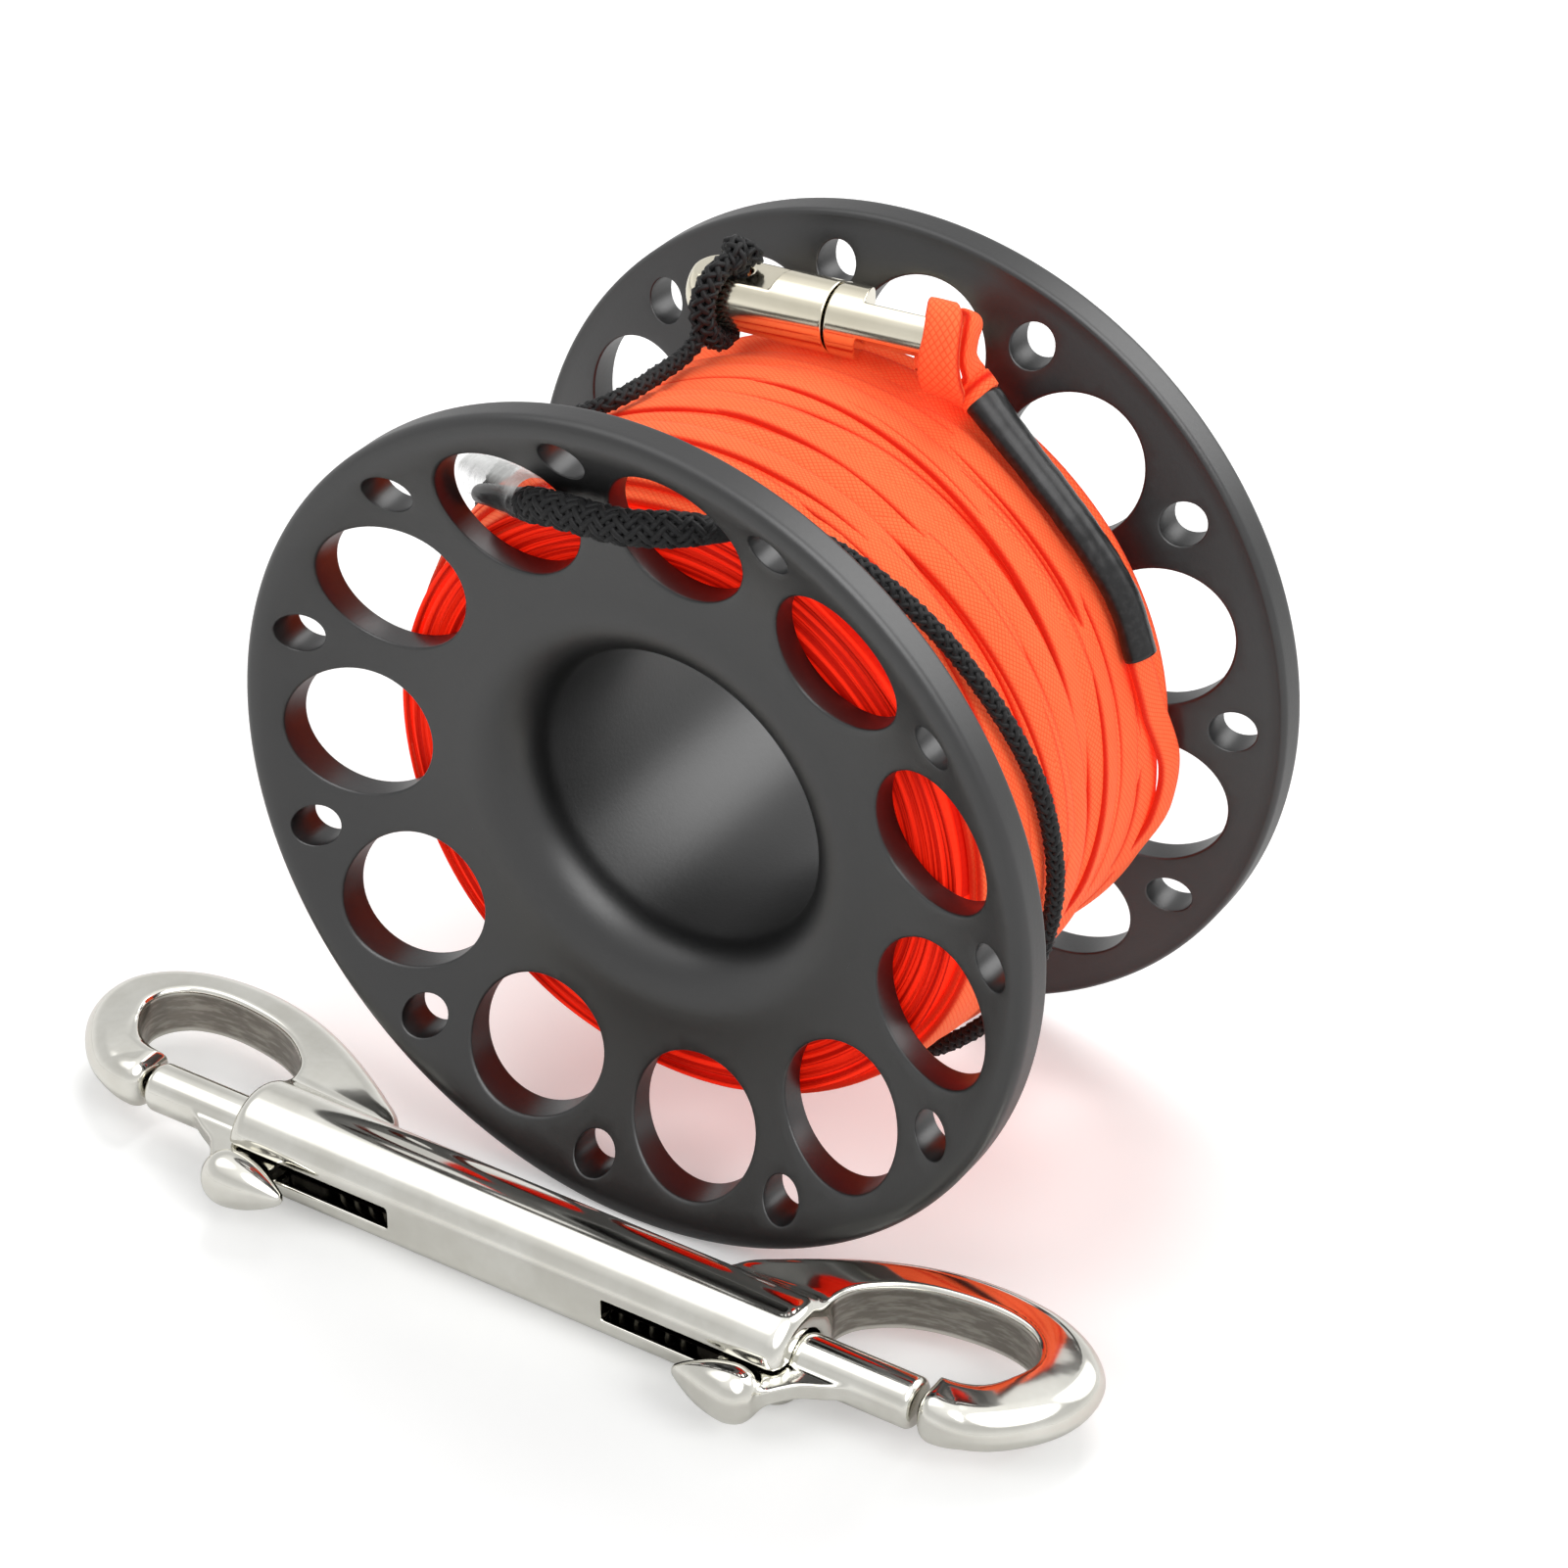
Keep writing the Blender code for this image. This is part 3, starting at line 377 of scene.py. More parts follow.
shrink = {
    "colour": (0.006, 0.006, 0.0065),
    "worn": (0.020, 0.020, 0.021),
    "ior": 1.4,
    "coat": 0.2,
    "coatRough": 0.15,
    "wrinkles": (0.12, 0.9),
    "speckScale": 1500,
    "wornFrom": 0.4,
    "wornTo": 0.8,
    "speckReliefShare": 0.05,
    "rough": 0.28,
    "roughByWrinkle": 0.14,
    "relief": 0.06 * mm,
}


def makeShrink():
    s = shrink
    f = Finish("shrinkSleeve", Metallic=0.0, IOR=s["ior"])
    f.set(Coat_Weight=s["coat"], Coat_Roughness=s["coatRough"])
    wrinkle = f.along(f.flow(), s["wrinkles"], 3)
    speck = f.noise(f.place(), s["speckScale"])
    tone = f.mixed(speck.step(s["wornFrom"], s["wornTo"]), s["colour"], s["worn"])
    relief = f.bump(wrinkle + speck * s["speckReliefShare"], s["relief"])
    return f.set(Base_Color=tone, Roughness=s["rough"] + wrinkle * s["roughByWrinkle"], Normal=relief)


# clear shrink tube, frosted by handling, with a painted highlight along its upper side
clear = {
    "low": (0.02, 0.02, 0.02),
    "frostAndHighlight": (0.80, 0.81, 0.79),
    "coat": 0.5,
    "coatRough": 0.1,
    "cover": 0.12,
    "coverAbove": 0.66,
    "coverByScuff": 0.18,
    "scuffs": (1.3, 0.35),
    "scuffFrom": 0.4,
    "scuffTo": 0.7,
    "highlightByUpper": 0.8,
    "toneByScuff": 0.5,
    "toneBelow": 0.15,
    "rough": 0.16,
    "roughByScuff": 0.16,
    "mostCover": 0.96,
    # how much a face looks up where the painted highlight on the upper side starts, and over how much more it
    # sets in
    "upperFrom": 0.30,
    "upperOver": 0.45,
    "relief": 0.03 * mm,
}


def makeClear():
    c = clear
    f = Finish("clearShrink", Metallic=0.0, Coat_Weight=c["coat"], Coat_Roughness=c["coatRough"])
    scuff = f.along(f.flow(), c["scuffs"], 4, 0.65)
    # painted highlight: its upper side is painted lighter and more opaque, as lit from above, and the cord's
    # end shows through the darker lower one
    upperHighlight = f.marked("paintedUpperHighlight")
    frostAndHighlightShare = upperHighlight * c["highlightByUpper"] + scuff * c["toneByScuff"] - c["toneBelow"]
    tone = f.mixed(frostAndHighlightShare.least(1.0), c["low"], c["frostAndHighlight"])
    scuffed = scuff.step(c["scuffFrom"], c["scuffTo"])
    cover = c["cover"] + upperHighlight * c["coverAbove"] + scuffed * c["coverByScuff"]
    f.set(Alpha=cover.least(c["mostCover"]), Normal=f.bump(scuff, c["relief"]))
    return f.set(Base_Color=tone, Roughness=c["rough"] + scuff * c["roughByScuff"])


cordYarn = {
    "dark": (0.0025, 0.0025, 0.003),
    "bright": (0.012, 0.012, 0.0125),
    "ior": 1.38,
    "sheen": 0.04,
    # how fast the fibres change along a strand and round it, and how much they turn round it, per metre
    "fibresAlong": 900.0,
    "fibresAround": 9.0,
    "twist": 500.0,
    "cloudScale": 420,
    "fibreWeight": 0.75,
    "cloudWeight": 0.25,
    "rough": 0.48,
    "roughByFibre": 0.2,
    "relief": 0.04 * mm,
    "reliefStrength": 0.6,
}


def makeCordYarn():
    # fine fibres run along every strand, a little twisted
    c = cordYarn
    f = Finish("blackCord", Metallic=0.0, IOR=c["ior"], Sheen_Weight=c["sheen"])
    along, around = f.marked("alongStrand"), f.marked("aroundStrand")
    spot = f.stretched(along * c["fibresAlong"], around * c["fibresAround"] + along * c["twist"])
    fibre = f.noise(spot, 1.0, 2, 0.6)
    cloud = f.noise(f.place(), c["cloudScale"])
    colour = f.mixed(fibre * c["fibreWeight"] + cloud * c["cloudWeight"], c["dark"], c["bright"])
    relief = f.bump(fibre, c["relief"], c["reliefStrength"])
    return f.set(Base_Color=colour, Roughness=c["rough"] + fibre * c["roughByFibre"], Normal=relief)


steel = {
    "satin": {"pale": (0.88, 0.825, 0.675), "warm": (0.81, 0.755, 0.605), "rough": 0.13, "wear": 0.3},
    "cast": {"pale": (0.80, 0.79, 0.735), "warm": (0.70, 0.685, 0.625), "rough": 0.055, "wear": 1.0},
    "wall": (0.40, 0.375, 0.335),
    "wallDark": (0.20, 0.18, 0.155),
    "paintedBoreShade": (0.020, 0.018, 0.016),
    "springDark": (0.06, 0.055, 0.045),
    "springPale": (0.16, 0.15, 0.13),
    "cloudScale": 140,
    "paleFrom": 0.3,
    "paleTo": 0.75,
    # drawing lines along the steel, and the grain of the casting
    "drawn": (60.0, 900.0, 900.0),
    "grain": (300.0, 300.0, 1600.0),
    "grainFrom": 0.42,
    "grainTo": 0.66,
    "pitScale": 1200,
    "pitFrom": 0.68,
    "pitTo": 0.78,
    "wallCover": 0.85,
    # what each pattern adds to the roughness, and to the height
    "roughByCloud": 0.05,
    "roughByDrawn": 0.04,
    "roughByPit": 0.10,
    "roughAsCast": 0.22,
    "roughInBore": 0.3,
    "heightByCloud": 1.5,
    "heightByDrawn": 0.4,
    "depthOfPit": 0.8,
    "scratch": 0.003 * mm,
    "springCloudScale": 300,
    "springRough": 0.4,
    "springRoughByCloud": 0.2,
}


def makeSteel(name, kind):
    s, wear = steel, kind["wear"]
    f = Finish(name, Metallic=1.0)
    spot = f.place()
    cloud = f.noise(spot, s["cloudScale"], 4, 0.6)
    place = f.split(spot)
    drawn = f.along(place, s["drawn"], 3, 0.6)
    pit = f.noise(spot, s["pitScale"], 3, 0.7).step(s["pitFrom"], s["pitTo"])
    colour = f.mixed(cloud.step(s["paleFrom"], s["paleTo"]), kind["warm"], kind["pale"])
    # the eye's inner wall is left as cast
    asCast = f.marked("innerWall")
    grain = f.along(place, s["grain"], 3, 0.65)
    wall = f.mixed(grain.step(s["grainFrom"], s["grainTo"]), s["wallDark"], s["wall"])
    colour = f.mixed(asCast * s["wallCover"], colour, wall)
    # painted shade: the bores are painted dark
    shadedInBore = f.marked("shadedInBore")
    colour = f.mixed(shadedInBore, colour, s["paintedBoreShade"])
    roughness = kind["rough"] + cloud * (s["roughByCloud"] * wear) + drawn * (s["roughByDrawn"] * wear)
    roughness = roughness + pit * s["roughByPit"] + asCast * s["roughAsCast"] + shadedInBore * s["roughInBore"]
    height = cloud * s["heightByCloud"] + drawn * s["heightByDrawn"] - pit * s["depthOfPit"]
    return f.set(Base_Color=colour, Roughness=roughness, Normal=f.bump(height, s["scratch"] * wear))


def makeSpringSteel():
    s = steel
    f = Finish("springSteel", Metallic=1.0)
    cloud = f.noise(f.place(), s["springCloudScale"], 3)
    colour = f.mixed(cloud, s["springDark"], s["springPale"])
    return f.set(Base_Color=colour, Roughness=s["springRough"] + cloud * s["springRoughByCloud"])


finishes = {
    "anodised": makeAnodised(),
    "winding": makeLineCloth("orangeLine", weaves["winding"]),
    "strand": makeLineCloth("orangeLineStretched", weaves["loop"]),
    "stack": makeLineStack(),
    "shrink": makeShrink(),
    "clear": makeClear(),
    "cord": makeCordYarn(),
    "satinSteel": makeSteel("polishedSteel", steel["satin"]),
    "castSteel": makeSteel("castSteel", steel["cast"]),
    "springSteel": makeSpringSteel(),
}


# meshes
def addPiece(name, mesh, body, surface, replaces=()):
    piece = bpy.data.objects.new(name, mesh)
    bpy.context.scene.collection.objects.link(piece)
    if surface is not None:
        mesh.materials.clear()
        mesh.materials.append(surface)
    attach(piece, body)
    if replaces:
        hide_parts(*replaces)
    return piece


def meshFrom(name, points, faces, matrix, flow=None, normals=None):
    # points in mm in their own frame, which matrix sets into the scene; flow is the UV of each point, in mm
    points = np.array(points, dtype=float).reshape(-1, 3) * mm
    turn = np.array(matrix.to_3x3())
    points = points @ turn.T + np.array(matrix.translation)
    mesh = bpy.data.meshes.new(name)
    mesh.from_pydata(points.tolist(), [], [list(map(int, face)) for face in faces])
    mesh.shade_smooth()
    if flow is not None:
        layer = mesh.uv_layers.new(name="flow")
        corners = np.zeros(len(mesh.loops), dtype=np.int32)
        mesh.loops.foreach_get("vertex_index", corners)
        layer.data.foreach_set("uv", np.array(flow, dtype=np.float32)[corners].ravel())
    if normals is not None:
        normals = np.array(normals) @ turn.T
        mesh.normals_split_custom_set_from_vertices(normals.tolist())
    mesh.update()
    return mesh


def markPoints(mesh, name, values):
    # gives each point of a mesh a value that a finish can read
    values = np.array(values, dtype=np.float32)
    mesh.attributes.new(name, "FLOAT", "POINT").data.foreach_set("value", values)


finePlaces = 24


def smoothRoute(rows, step):
    # a smooth curve through the rows, as places that far apart; further columns go along
    rows = np.array(rows, dtype=float)
    padded = np.vstack([2 * rows[0] - rows[1], rows, 2 * rows[-1] - rows[-2]])
    fine = []
    for before, start, end, after in zip(padded, padded[1:], padded[2:], padded[3:]):
        for t in np.linspace(0, 1, finePlaces, endpoint=False):
            curve = 2 * start + (end - before) * t
            curve = curve + (2 * before - 5 * start + 4 * end - after) * t ** 2
            curve = curve + (3 * start - before - 3 * end + after) * t ** 3
            fine.append(curve / 2)
    fine.append(rows[-1])
    fine = np.array(fine)
    travelled = np.concatenate([[0], np.cumsum(np.linalg.norm(np.diff(fine[:, :3], axis=0), axis=1))])
    marks = np.linspace(0, travelled[-1], max(2, round(travelled[-1] / step)) + 1)
    return np.array([np.interp(marks, travelled, fine[:, column]) for column in range(rows.shape[1])]).T


def ringFaces(rings, sides):
    # quads between closed rings of points, and the number of each point by ring and side
    index = np.arange(rings * sides).reshape(rings, sides)
    ahead = np.roll(index, -1, axis=1)
    quads = np.stack([index[:-1], ahead[:-1], ahead[1:], index[1:]], axis=-1)
    return index, quads.reshape(-1, 4).tolist()


def sweep(centres, across, halfWidths, halfHeights, section, closedEnds=True):
    # one section, in shares of half width and half height, along a path; returns points, faces and flow
    centres = np.array(centres, dtype=float)
    tangents = np.gradient(centres, axis=0)
    tangents /= np.linalg.norm(tangents, axis=1)[:, None]
    across = np.array(across, dtype=float)
    across = across - tangents * np.sum(across * tangents, axis=1)[:, None]
    across /= np.linalg.norm(across, axis=1)[:, None]
    outward = np.cross(tangents, across)
    section = np.array(section, dtype=float)
    halfWidths = np.broadcast_to(halfWidths, len(centres))
    halfHeights = np.broadcast_to(halfHeights, len(centres))
    wide = section[None, :, 0, None] * (across * halfWidths[:, None])[:, None, :]
    high = section[None, :, 1, None] * (outward * halfHeights[:, None])[:, None, :]
    points = centres[:, None, :] + wide + high
    rings, sides = len(centres), len(section)
    travelled = np.concatenate([[0], np.cumsum(np.linalg.norm(np.diff(centres, axis=0), axis=1))])
    # across the tape the flow runs on round the section, so the weave does not stretch over the edge
    edge = np.linalg.norm(np.diff(points, axis=1), axis=2).mean(axis=0)
    around = np.concatenate([[0], np.cumsum(edge)])
    flow = np.zeros((rings, sides, 2))
    flow[:, :, 0] = travelled[:, None]
    flow[:, :, 1] = around[None, :]
    index, faces = ringFaces(rings, sides)
    if closedEnds:
        faces.append(index[0][::-1].tolist())
        faces.append(index[-1].tolist())
    return points.reshape(-1, 3), faces, flow.reshape(-1, 2)


def joinParts(parts):
    points, faces, flow, base = [], [], [], 0
    for partPoints, partFaces, partFlow in parts:
        points.append(partPoints)
        flow.append(partFlow)
        faces += [[corner + base for corner in face] for face in partFaces]
        base += len(partPoints)
    return np.vstack(points), faces, np.vstack(flow)


def ovalSection(sides):
    return [(cos(tau * k / sides), sin(tau * k / sides)) for k in range(sides)]


def fieldGradient(field, points, reach):
    slope = np.zeros_like(points)
    for axis in range(3):
        shift = np.zeros(3)
        shift[axis] = reach
        slope[:, axis] = (field(points + shift) - field(points - shift)) / (2 * reach)
    return slope


# how a skin is pulled onto its surface: how often, how far at most in cells, and the least slope it trusts
pull = {"rounds": 4, "most": 0.5, "leastSlope": 0.05}
normalReach = 0.12
tiny = 1e-9


def solidFromField(field, low, high, cell):
    # skins the place where a distance field is zero: one point in each cell it crosses, pulled onto it
    axes = [np.arange(a, b + cell, cell) for a, b in zip(low, high)]
    nx, ny, nz = (len(axis) for axis in axes)
    values = np.zeros((nx, ny, nz))
    yy, zz = np.meshgrid(axes[1], axes[2], indexing="ij")
    for i, x in enumerate(axes[0]):
        sheet = np.stack([np.full(yy.size, x), yy.ravel(), zz.ravel()], axis=1)
        values[i] = field(sheet).reshape(ny, nz)
    inside = values < 0
    total = np.zeros((nx, ny, nz, 3))
    count = np.zeros((nx, ny, nz))
    crossings = []
    for axis in range(3):
        first = [slice(None)] * 3
        second = [slice(None)] * 3
        first[axis], second[axis] = slice(0, -1), slice(1, None)
        cut = inside[tuple(first)] != inside[tuple(second)]
        where = np.argwhere(cut)
        a = values[tuple(first)][cut]
        b = values[tuple(second)][cut]
        spots = where.astype(float)
        spots[:, axis] += a / (a - b)
        crossings.append((where, a < 0))
        others = [k for k in range(3) if k != axis]
        for da in (0, -1):
            for db in (0, -1):
                cells = where.copy()
                cells[:, others[0]] += da
                cells[:, others[1]] += db
                np.add.at(total, tuple(cells.T), spots)
                np.add.at(count, tuple(cells.T), 1)
    used = count > 0
    number = np.full((nx, ny, nz), -1)
    number[used] = np.arange(used.sum())
    points = total[used] / count[used][:, None] * cell + np.array([axis[0] for axis in axes])
    faces = []
    for axis, (where, outward) in enumerate(crossings):
        o1, o2 = [k for k in range(3) if k != axis]
        corners = []
        for da, db in ((0, 0), (-1, 0), (-1, -1), (0, -1)):
            cells = where.copy()
            cells[:, o1] += da
            cells[:, o2] += db
            corners.append(number[tuple(cells.T)])
        quads = np.stack(corners, axis=1)
        flip = outward if axis != 1 else ~outward
        quads[~flip] = quads[~flip][:, ::-1]
        faces.append(quads)
    faces = np.vstack(faces)
    for _ in range(pull["rounds"]):
        value = field(points)
        slope = fieldGradient(field, points, normalReach / 3)
        size = np.sum(slope ** 2, axis=1)
        move = slope * (value / np.maximum(size, pull["leastSlope"]))[:, None]
        length = np.linalg.norm(move, axis=1)
        move *= np.minimum(1, pull["most"] * cell / np.maximum(length, tiny))[:, None]
        points = points - move
    normals = fieldGradient(field, points, normalReach)
    normals /= np.maximum(np.linalg.norm(normals, axis=1), tiny)[:, None]
    return points, faces, normals


def handed(skin, side):
    # a skin as it is, or mirrored along x
    points, faces, normals = skin
    flip = np.array([side, 1, 1])
    return points * flip, faces[:, ::side], normals * flip


def softUnion(a, b, meld):
    # both together, with a fillet of that size where they meet; a negative one gives what they share
    share = np.clip(0.5 + 0.5 * (b - a) / meld, 0, 1)
    return b * (1 - share) + a * share - meld * share * (1 - share)


def softCut(a, b, meld):
    # a without b
    return -softUnion(-a, b, meld)


def roundedBox(points, centre, half, round):
    q = np.abs(points - np.array(centre)) - (np.array(half) - round)
    outside = np.linalg.norm(np.maximum(q, 0), axis=1)
    return outside + np.minimum(q.max(axis=1), 0) - round


def rodField(points, start, end, radius, round):
    # a rod along x with rounded rims
    middle, half = (start + end) / 2, (end - start) / 2
    radial = np.hypot(points[:, 1], points[:, 2]) - (radius - round)
    along = np.abs(points[:, 0] - middle) - (half - round)
    outside = np.hypot(np.maximum(radial, 0), np.maximum(along, 0))
    return outside + np.minimum(np.maximum(radial, along), 0) - round


def turnOut(mesh, distance=0.0):
    # joins points closer than the distance and turns every face outward
    work = bmesh.new()
    work.from_mesh(mesh)
    if distance:
        bmesh.ops.remove_doubles(work, verts=work.verts, dist=distance)
    bmesh.ops.recalc_face_normals(work, faces=work.faces)
    work.to_mesh(mesh)
    work.free()
    mesh.shade_smooth()


print("frame loaded, tools ready")


# lanyard: black braided cord
braid = {
    "step": 0.34 * mm,
    "cord": {
        "Carriers": 4,
        "Radius": 0.60 * mm,
        "Pitch": 4.6 * mm,
        "Strand": 0.30 * mm,
        "Wave": 0.11 * mm,
        "Float": 1,
    },
    "splice": {
        "Carriers": 8,
        "Radius": 1.37 * mm,
        "Pitch": 8.6 * mm,
        "Strand": 0.34 * mm,
        "Wave": 0.13 * mm,
        "Float": 2,
    },
    "coreShare": 0.93,
    "coreSides": 12,
    "strandSides": 6,
    "strandOffset": 9 * mm,
}
# places in mm from the spool's centre; a fourth value is how thick it is there
lanyardRoute = [
    (-14.1, 9.2, 35.3), (-14.4, 8.2, 34.1), (-14.8, 6.4, 33.3), (-15.2, 2.8, 33.0), (-15.4, -0.3, 32.95),
    (-16.6, -3.2, 32.4), (-20.2, -4.4, 30.2), (-26.1, -4.2, 25.3), (-32.6, -2.4, 16.2), (-36.2, 0.3, 3.8),
    (-35.0, 2.6, -9.8), (-28.2, 3.2, -22.9), (-16.5, 1.8, -32.4), (-2.2, -0.6, -36.3), (12.0, -3.0, -34.3),
    (22.1, -4.2, -28.8), (29.8, -4.9, -20.8), (34.4, -5.7, -11.5), (36.2, -6.6, -2.0), (35.5, -8.2, 7.5),
    (33.3, -9.7, 14.3), (30.0, -11.3, 20.4), (26.3, -12.4, 25.0), (21.8, -13.6, 29.0), (16.6, -15.0, 32.3),
    (12.3, -16.7, 34.2), (9.3, -18.6, 34.6), (7.4, -20.1, 34.0),
]
spliceRoute = [
    (8.6, -19.1, 34.4, 0.46), (7.6, -20.0, 34.1, 0.56), (6.7, -21.0, 34.2, 0.74), (5.5, -22.3, 34.5, 0.92),
    (4.0, -23.6, 34.7, 1.0), (0.5, -25.2, 34.6, 1.0), (-3.7, -25.5, 34.4, 1.0), (-6.5, -25.5, 34.3, 1.0),
    (-9.1, -25.1, 33.8, 1.0), (-11.5, -23.9, 32.7, 0.95),
]
# the shrink tubes on the splice's end; the fourth value is the radius
tailRoute = [
    (-11.2, -24.05, 32.85, 1.5), (-12.5, -23.35, 32.25, 1.5), (-13.3, -22.8, 31.8, 1.45),
    (-14.6, -22.1, 31.3, 1.3), (-16.6, -21.1, 30.5, 1.2), (-18.7, -20.0, 29.6, 1.08),
    (-20.6, -18.85, 28.6, 0.96), (-20.95, -18.63, 28.42, 0.7), (-21.0, -18.6, 28.4, 0.3),
]
clearRoute = [
    (-10.8, -24.15, 33.5, 2.1), (-12.2, -23.5, 33.2, 2.3), (-13.6, -22.75, 32.8, 2.35),
    (-15.4, -21.8, 32.3, 2.35), (-17.4, -20.75, 31.7, 2.3), (-19.4, -19.65, 31.1, 2.2),
    (-21.2, -18.5, 30.4, 2.1), (-21.9, -18.1, 30.1, 1.9),
]
tubeSides = 40
# places about the swivel's eye, along, across and up, with how thick the cord is there
knotRoutes = {
    "throughEye": [
        (1.7, 1.0, 3.3, 1.1), (1.5, 0.9, 4.3, 1.5), (1.0, 0.3, 4.6, 1.7), (0.6, 0.0, 3.4, 1.7),
        (0.25, 0.0, 2.3, 1.5), (0.0, 0.0, -2.2, 1.2), (0.0, -0.6, -3.4, 1.2), (-0.1, -2.5, -3.9, 1.35),
        (-0.4, -4.0, -3.0, 1.5), (-0.7, -4.8, -1.5, 1.6), (-0.8, -4.9, 0.3, 1.65), (-0.6, -4.4, 2.0, 1.6),
        (-0.2, -3.3, 3.3, 1.5), (0.1, -2.0, 3.9, 1.4), (0.3, -0.7, 4.0, 1.3),
    ],
    "overTop": [
        (-1.1, 1.2, 3.5, 1.0), (-0.7, 0.9, 4.5, 1.25), (0.1, 0.2, 5.0, 1.4), (0.9, -0.6, 4.8, 1.4),
        (1.1, -1.1, 4.1, 1.25), (0.5, -1.1, 3.4, 1.0),
    ],
}


class Shape(Tree):
    # a tree of geometry nodes with named inputs
    def __init__(self, name, inputs):
        self.tree = bpy.data.node_groups.new(name, "GeometryNodeTree")
        self.tree.is_modifier = True
        self.ids = {}
        sockets = self.tree.interface
        sockets.new_socket("Geometry", in_out="INPUT", socket_type="NodeSocketGeometry")
        for key, value in inputs.items():
            kind = "NodeSocketInt" if isinstance(value, int) else "NodeSocketFloat"
            made = sockets.new_socket(key, in_out="INPUT", socket_type=kind)
            made.default_value = value
            self.ids[key] = made.identifier
        sockets.new_socket("Geometry", in_out="OUTPUT", socket_type="NodeSocketGeometry")
        self.inward = self.tree.nodes.new("NodeGroupInput")
        self.outward = self.tree.nodes.new("NodeGroupOutput")

    def given(self, name):
        return Wire(self, self.inward.outputs[name])

    def vector(self, operation, first, second=None, scale=None):
        inputs = {0: first}
        if second is not None:
            inputs[1] = second
        if scale is not None:
            inputs["Scale"] = scale
        return self.node("ShaderNodeVectorMath", {"operation": operation}, inputs)

    def circle(self, sides, radius):
        inputs = {"Resolution": sides, "Radius": radius}
        return self.node("GeometryNodeCurvePrimitiveCircle", {"mode": "RADIUS"}, inputs)

    def swept(self, curve, profile):
        inputs = {"Curve": curve, "Profile Curve": profile, "Fill Caps": True}
        return self.node("GeometryNodeCurveToMesh", inputs=inputs)

    def stored(self, geometry, name, value):
        settings = {"data_type": "FLOAT", "domain": "POINT"}
        inputs = {"Geometry": geometry, "Name": name, "Value": value}
        return self.node("GeometryNodeStoreNamedAttribute", settings, inputs)

    def apply(self, thing, values):
        # runs on the object and gives back the plain mesh
        change = thing.modifiers.new("shape", "NODES")
        change.node_group = self.tree
        for key, value in values.items():
            change[self.ids[key]] = value
        bpy.context.view_layer.update()
        graph = bpy.context.evaluated_depsgraph_get()
        mesh = bpy.data.meshes.new_from_object(thing.evaluated_get(graph))
        bpy.data.objects.remove(thing)
        return mesh


def braidShape(surface):
    # strands run both ways round a curve and pass over and under each other
    s = Shape("braid", {"Step": braid["step"], **braid["cord"]})
    carriers, pitch, floats = s.given("Carriers"), s.given("Pitch"), s.given("Float")
    evenly = {"Curve": s.given("Geometry"), "Length": s.given("Step")}
    curve = s.node("GeometryNodeResampleCurve", {"mode": "LENGTH"}, evenly)
    twice = {"Geometry": curve, "Amount": carriers * 2.0}
    copies = s.node("GeometryNodeDuplicateElements", {"domain": "SPLINE"}, twice)
    number = copies.output(1)
    length = s.node("GeometryNodeSplineParameter", output=1)
    hand = (number % 2.0) * 2.0 - 1.0
    angle = hand * ((number / 2.0).floor() / carriers + length / pitch) * tau
    rise = (length * carriers * tau / (pitch * floats) + (floats - 1.0) * (pi / 4)).cosine()
    radius = s.node("GeometryNodeInputRadius")
    reach = (s.given("Radius") + hand * rise * s.given("Wave")) * radius
    normal, tangent = s.node("GeometryNodeInputNormal"), s.node("GeometryNodeInputTangent")
    side = s.vector("CROSS_PRODUCT", tangent, normal)
    first = s.vector("SCALE", normal, scale=angle.cosine() * reach)
    offset = s.vector("ADD", first, s.vector("SCALE", side, scale=angle.sine() * reach))
    marked = s.stored(copies, "alongStrand", length + number * braid["strandOffset"])
    strands = s.node("GeometryNodeSetPosition", inputs={"Geometry": marked, "Offset": offset})
    turn = s.node("GeometryNodeSplineParameter", output=0)
    strandRound = s.stored(s.circle(braid["strandSides"], s.given("Strand")), "aroundStrand", turn)
    solid = s.swept(strands, strandRound)
    # a plain core keeps the gaps between the strands dark
    core = s.swept(curve, s.circle(braid["coreSides"], s.given("Radius") * braid["coreShare"]))
    joined = s.tree.nodes.new("GeometryNodeJoinGeometry")
    s.tree.links.new(core.socket, joined.inputs[0])
    s.tree.links.new(solid.socket, joined.inputs[0])
    real = s.node("GeometryNodeRealizeInstances", inputs={"Geometry": Wire(s, joined.outputs[0])})
    smooth = s.node("GeometryNodeSetShadeSmooth", inputs={"Geometry": real})
    dressed = s.node("GeometryNodeSetMaterial", inputs={"Geometry": smooth, "Material": surface})
    s.tree.links.new(dressed.socket, s.outward.inputs[0])
    return s


# how far apart the places along a curve are, in mm
routeStep = {"braid": 0.4, "tube": 0.25, "path": 3.0}


def curveThrough(name, rows, matrix):
    # rows are places in mm, with how thick it is there as a share
    route = smoothRoute(rows, routeStep["braid"])
    data = bpy.data.curves.new(name, "CURVE")
    data.dimensions = "3D"
    line = data.splines.new("POLY")
    line.points.add(len(route) - 1)
    for point, row in zip(line.points, route):
        point.co = (*(matrix @ (Vector(row[:3]) * mm)), 1)
        point.radius = row[3] if len(row) > 3 else 1.0
    thing = bpy.data.objects.new(name, data)
    bpy.context.scene.collection.objects.link(thing)
    return thing


cordBraid = braidShape(finishes["cord"])


def makeBraided(name, rows, matrix, values, nodes=()):
    mesh = cordBraid.apply(curveThrough(name, rows, matrix), {"Step": braid["step"], **values})
    mesh.name = name
    return addPiece(name, mesh, "spool", None, nodes)


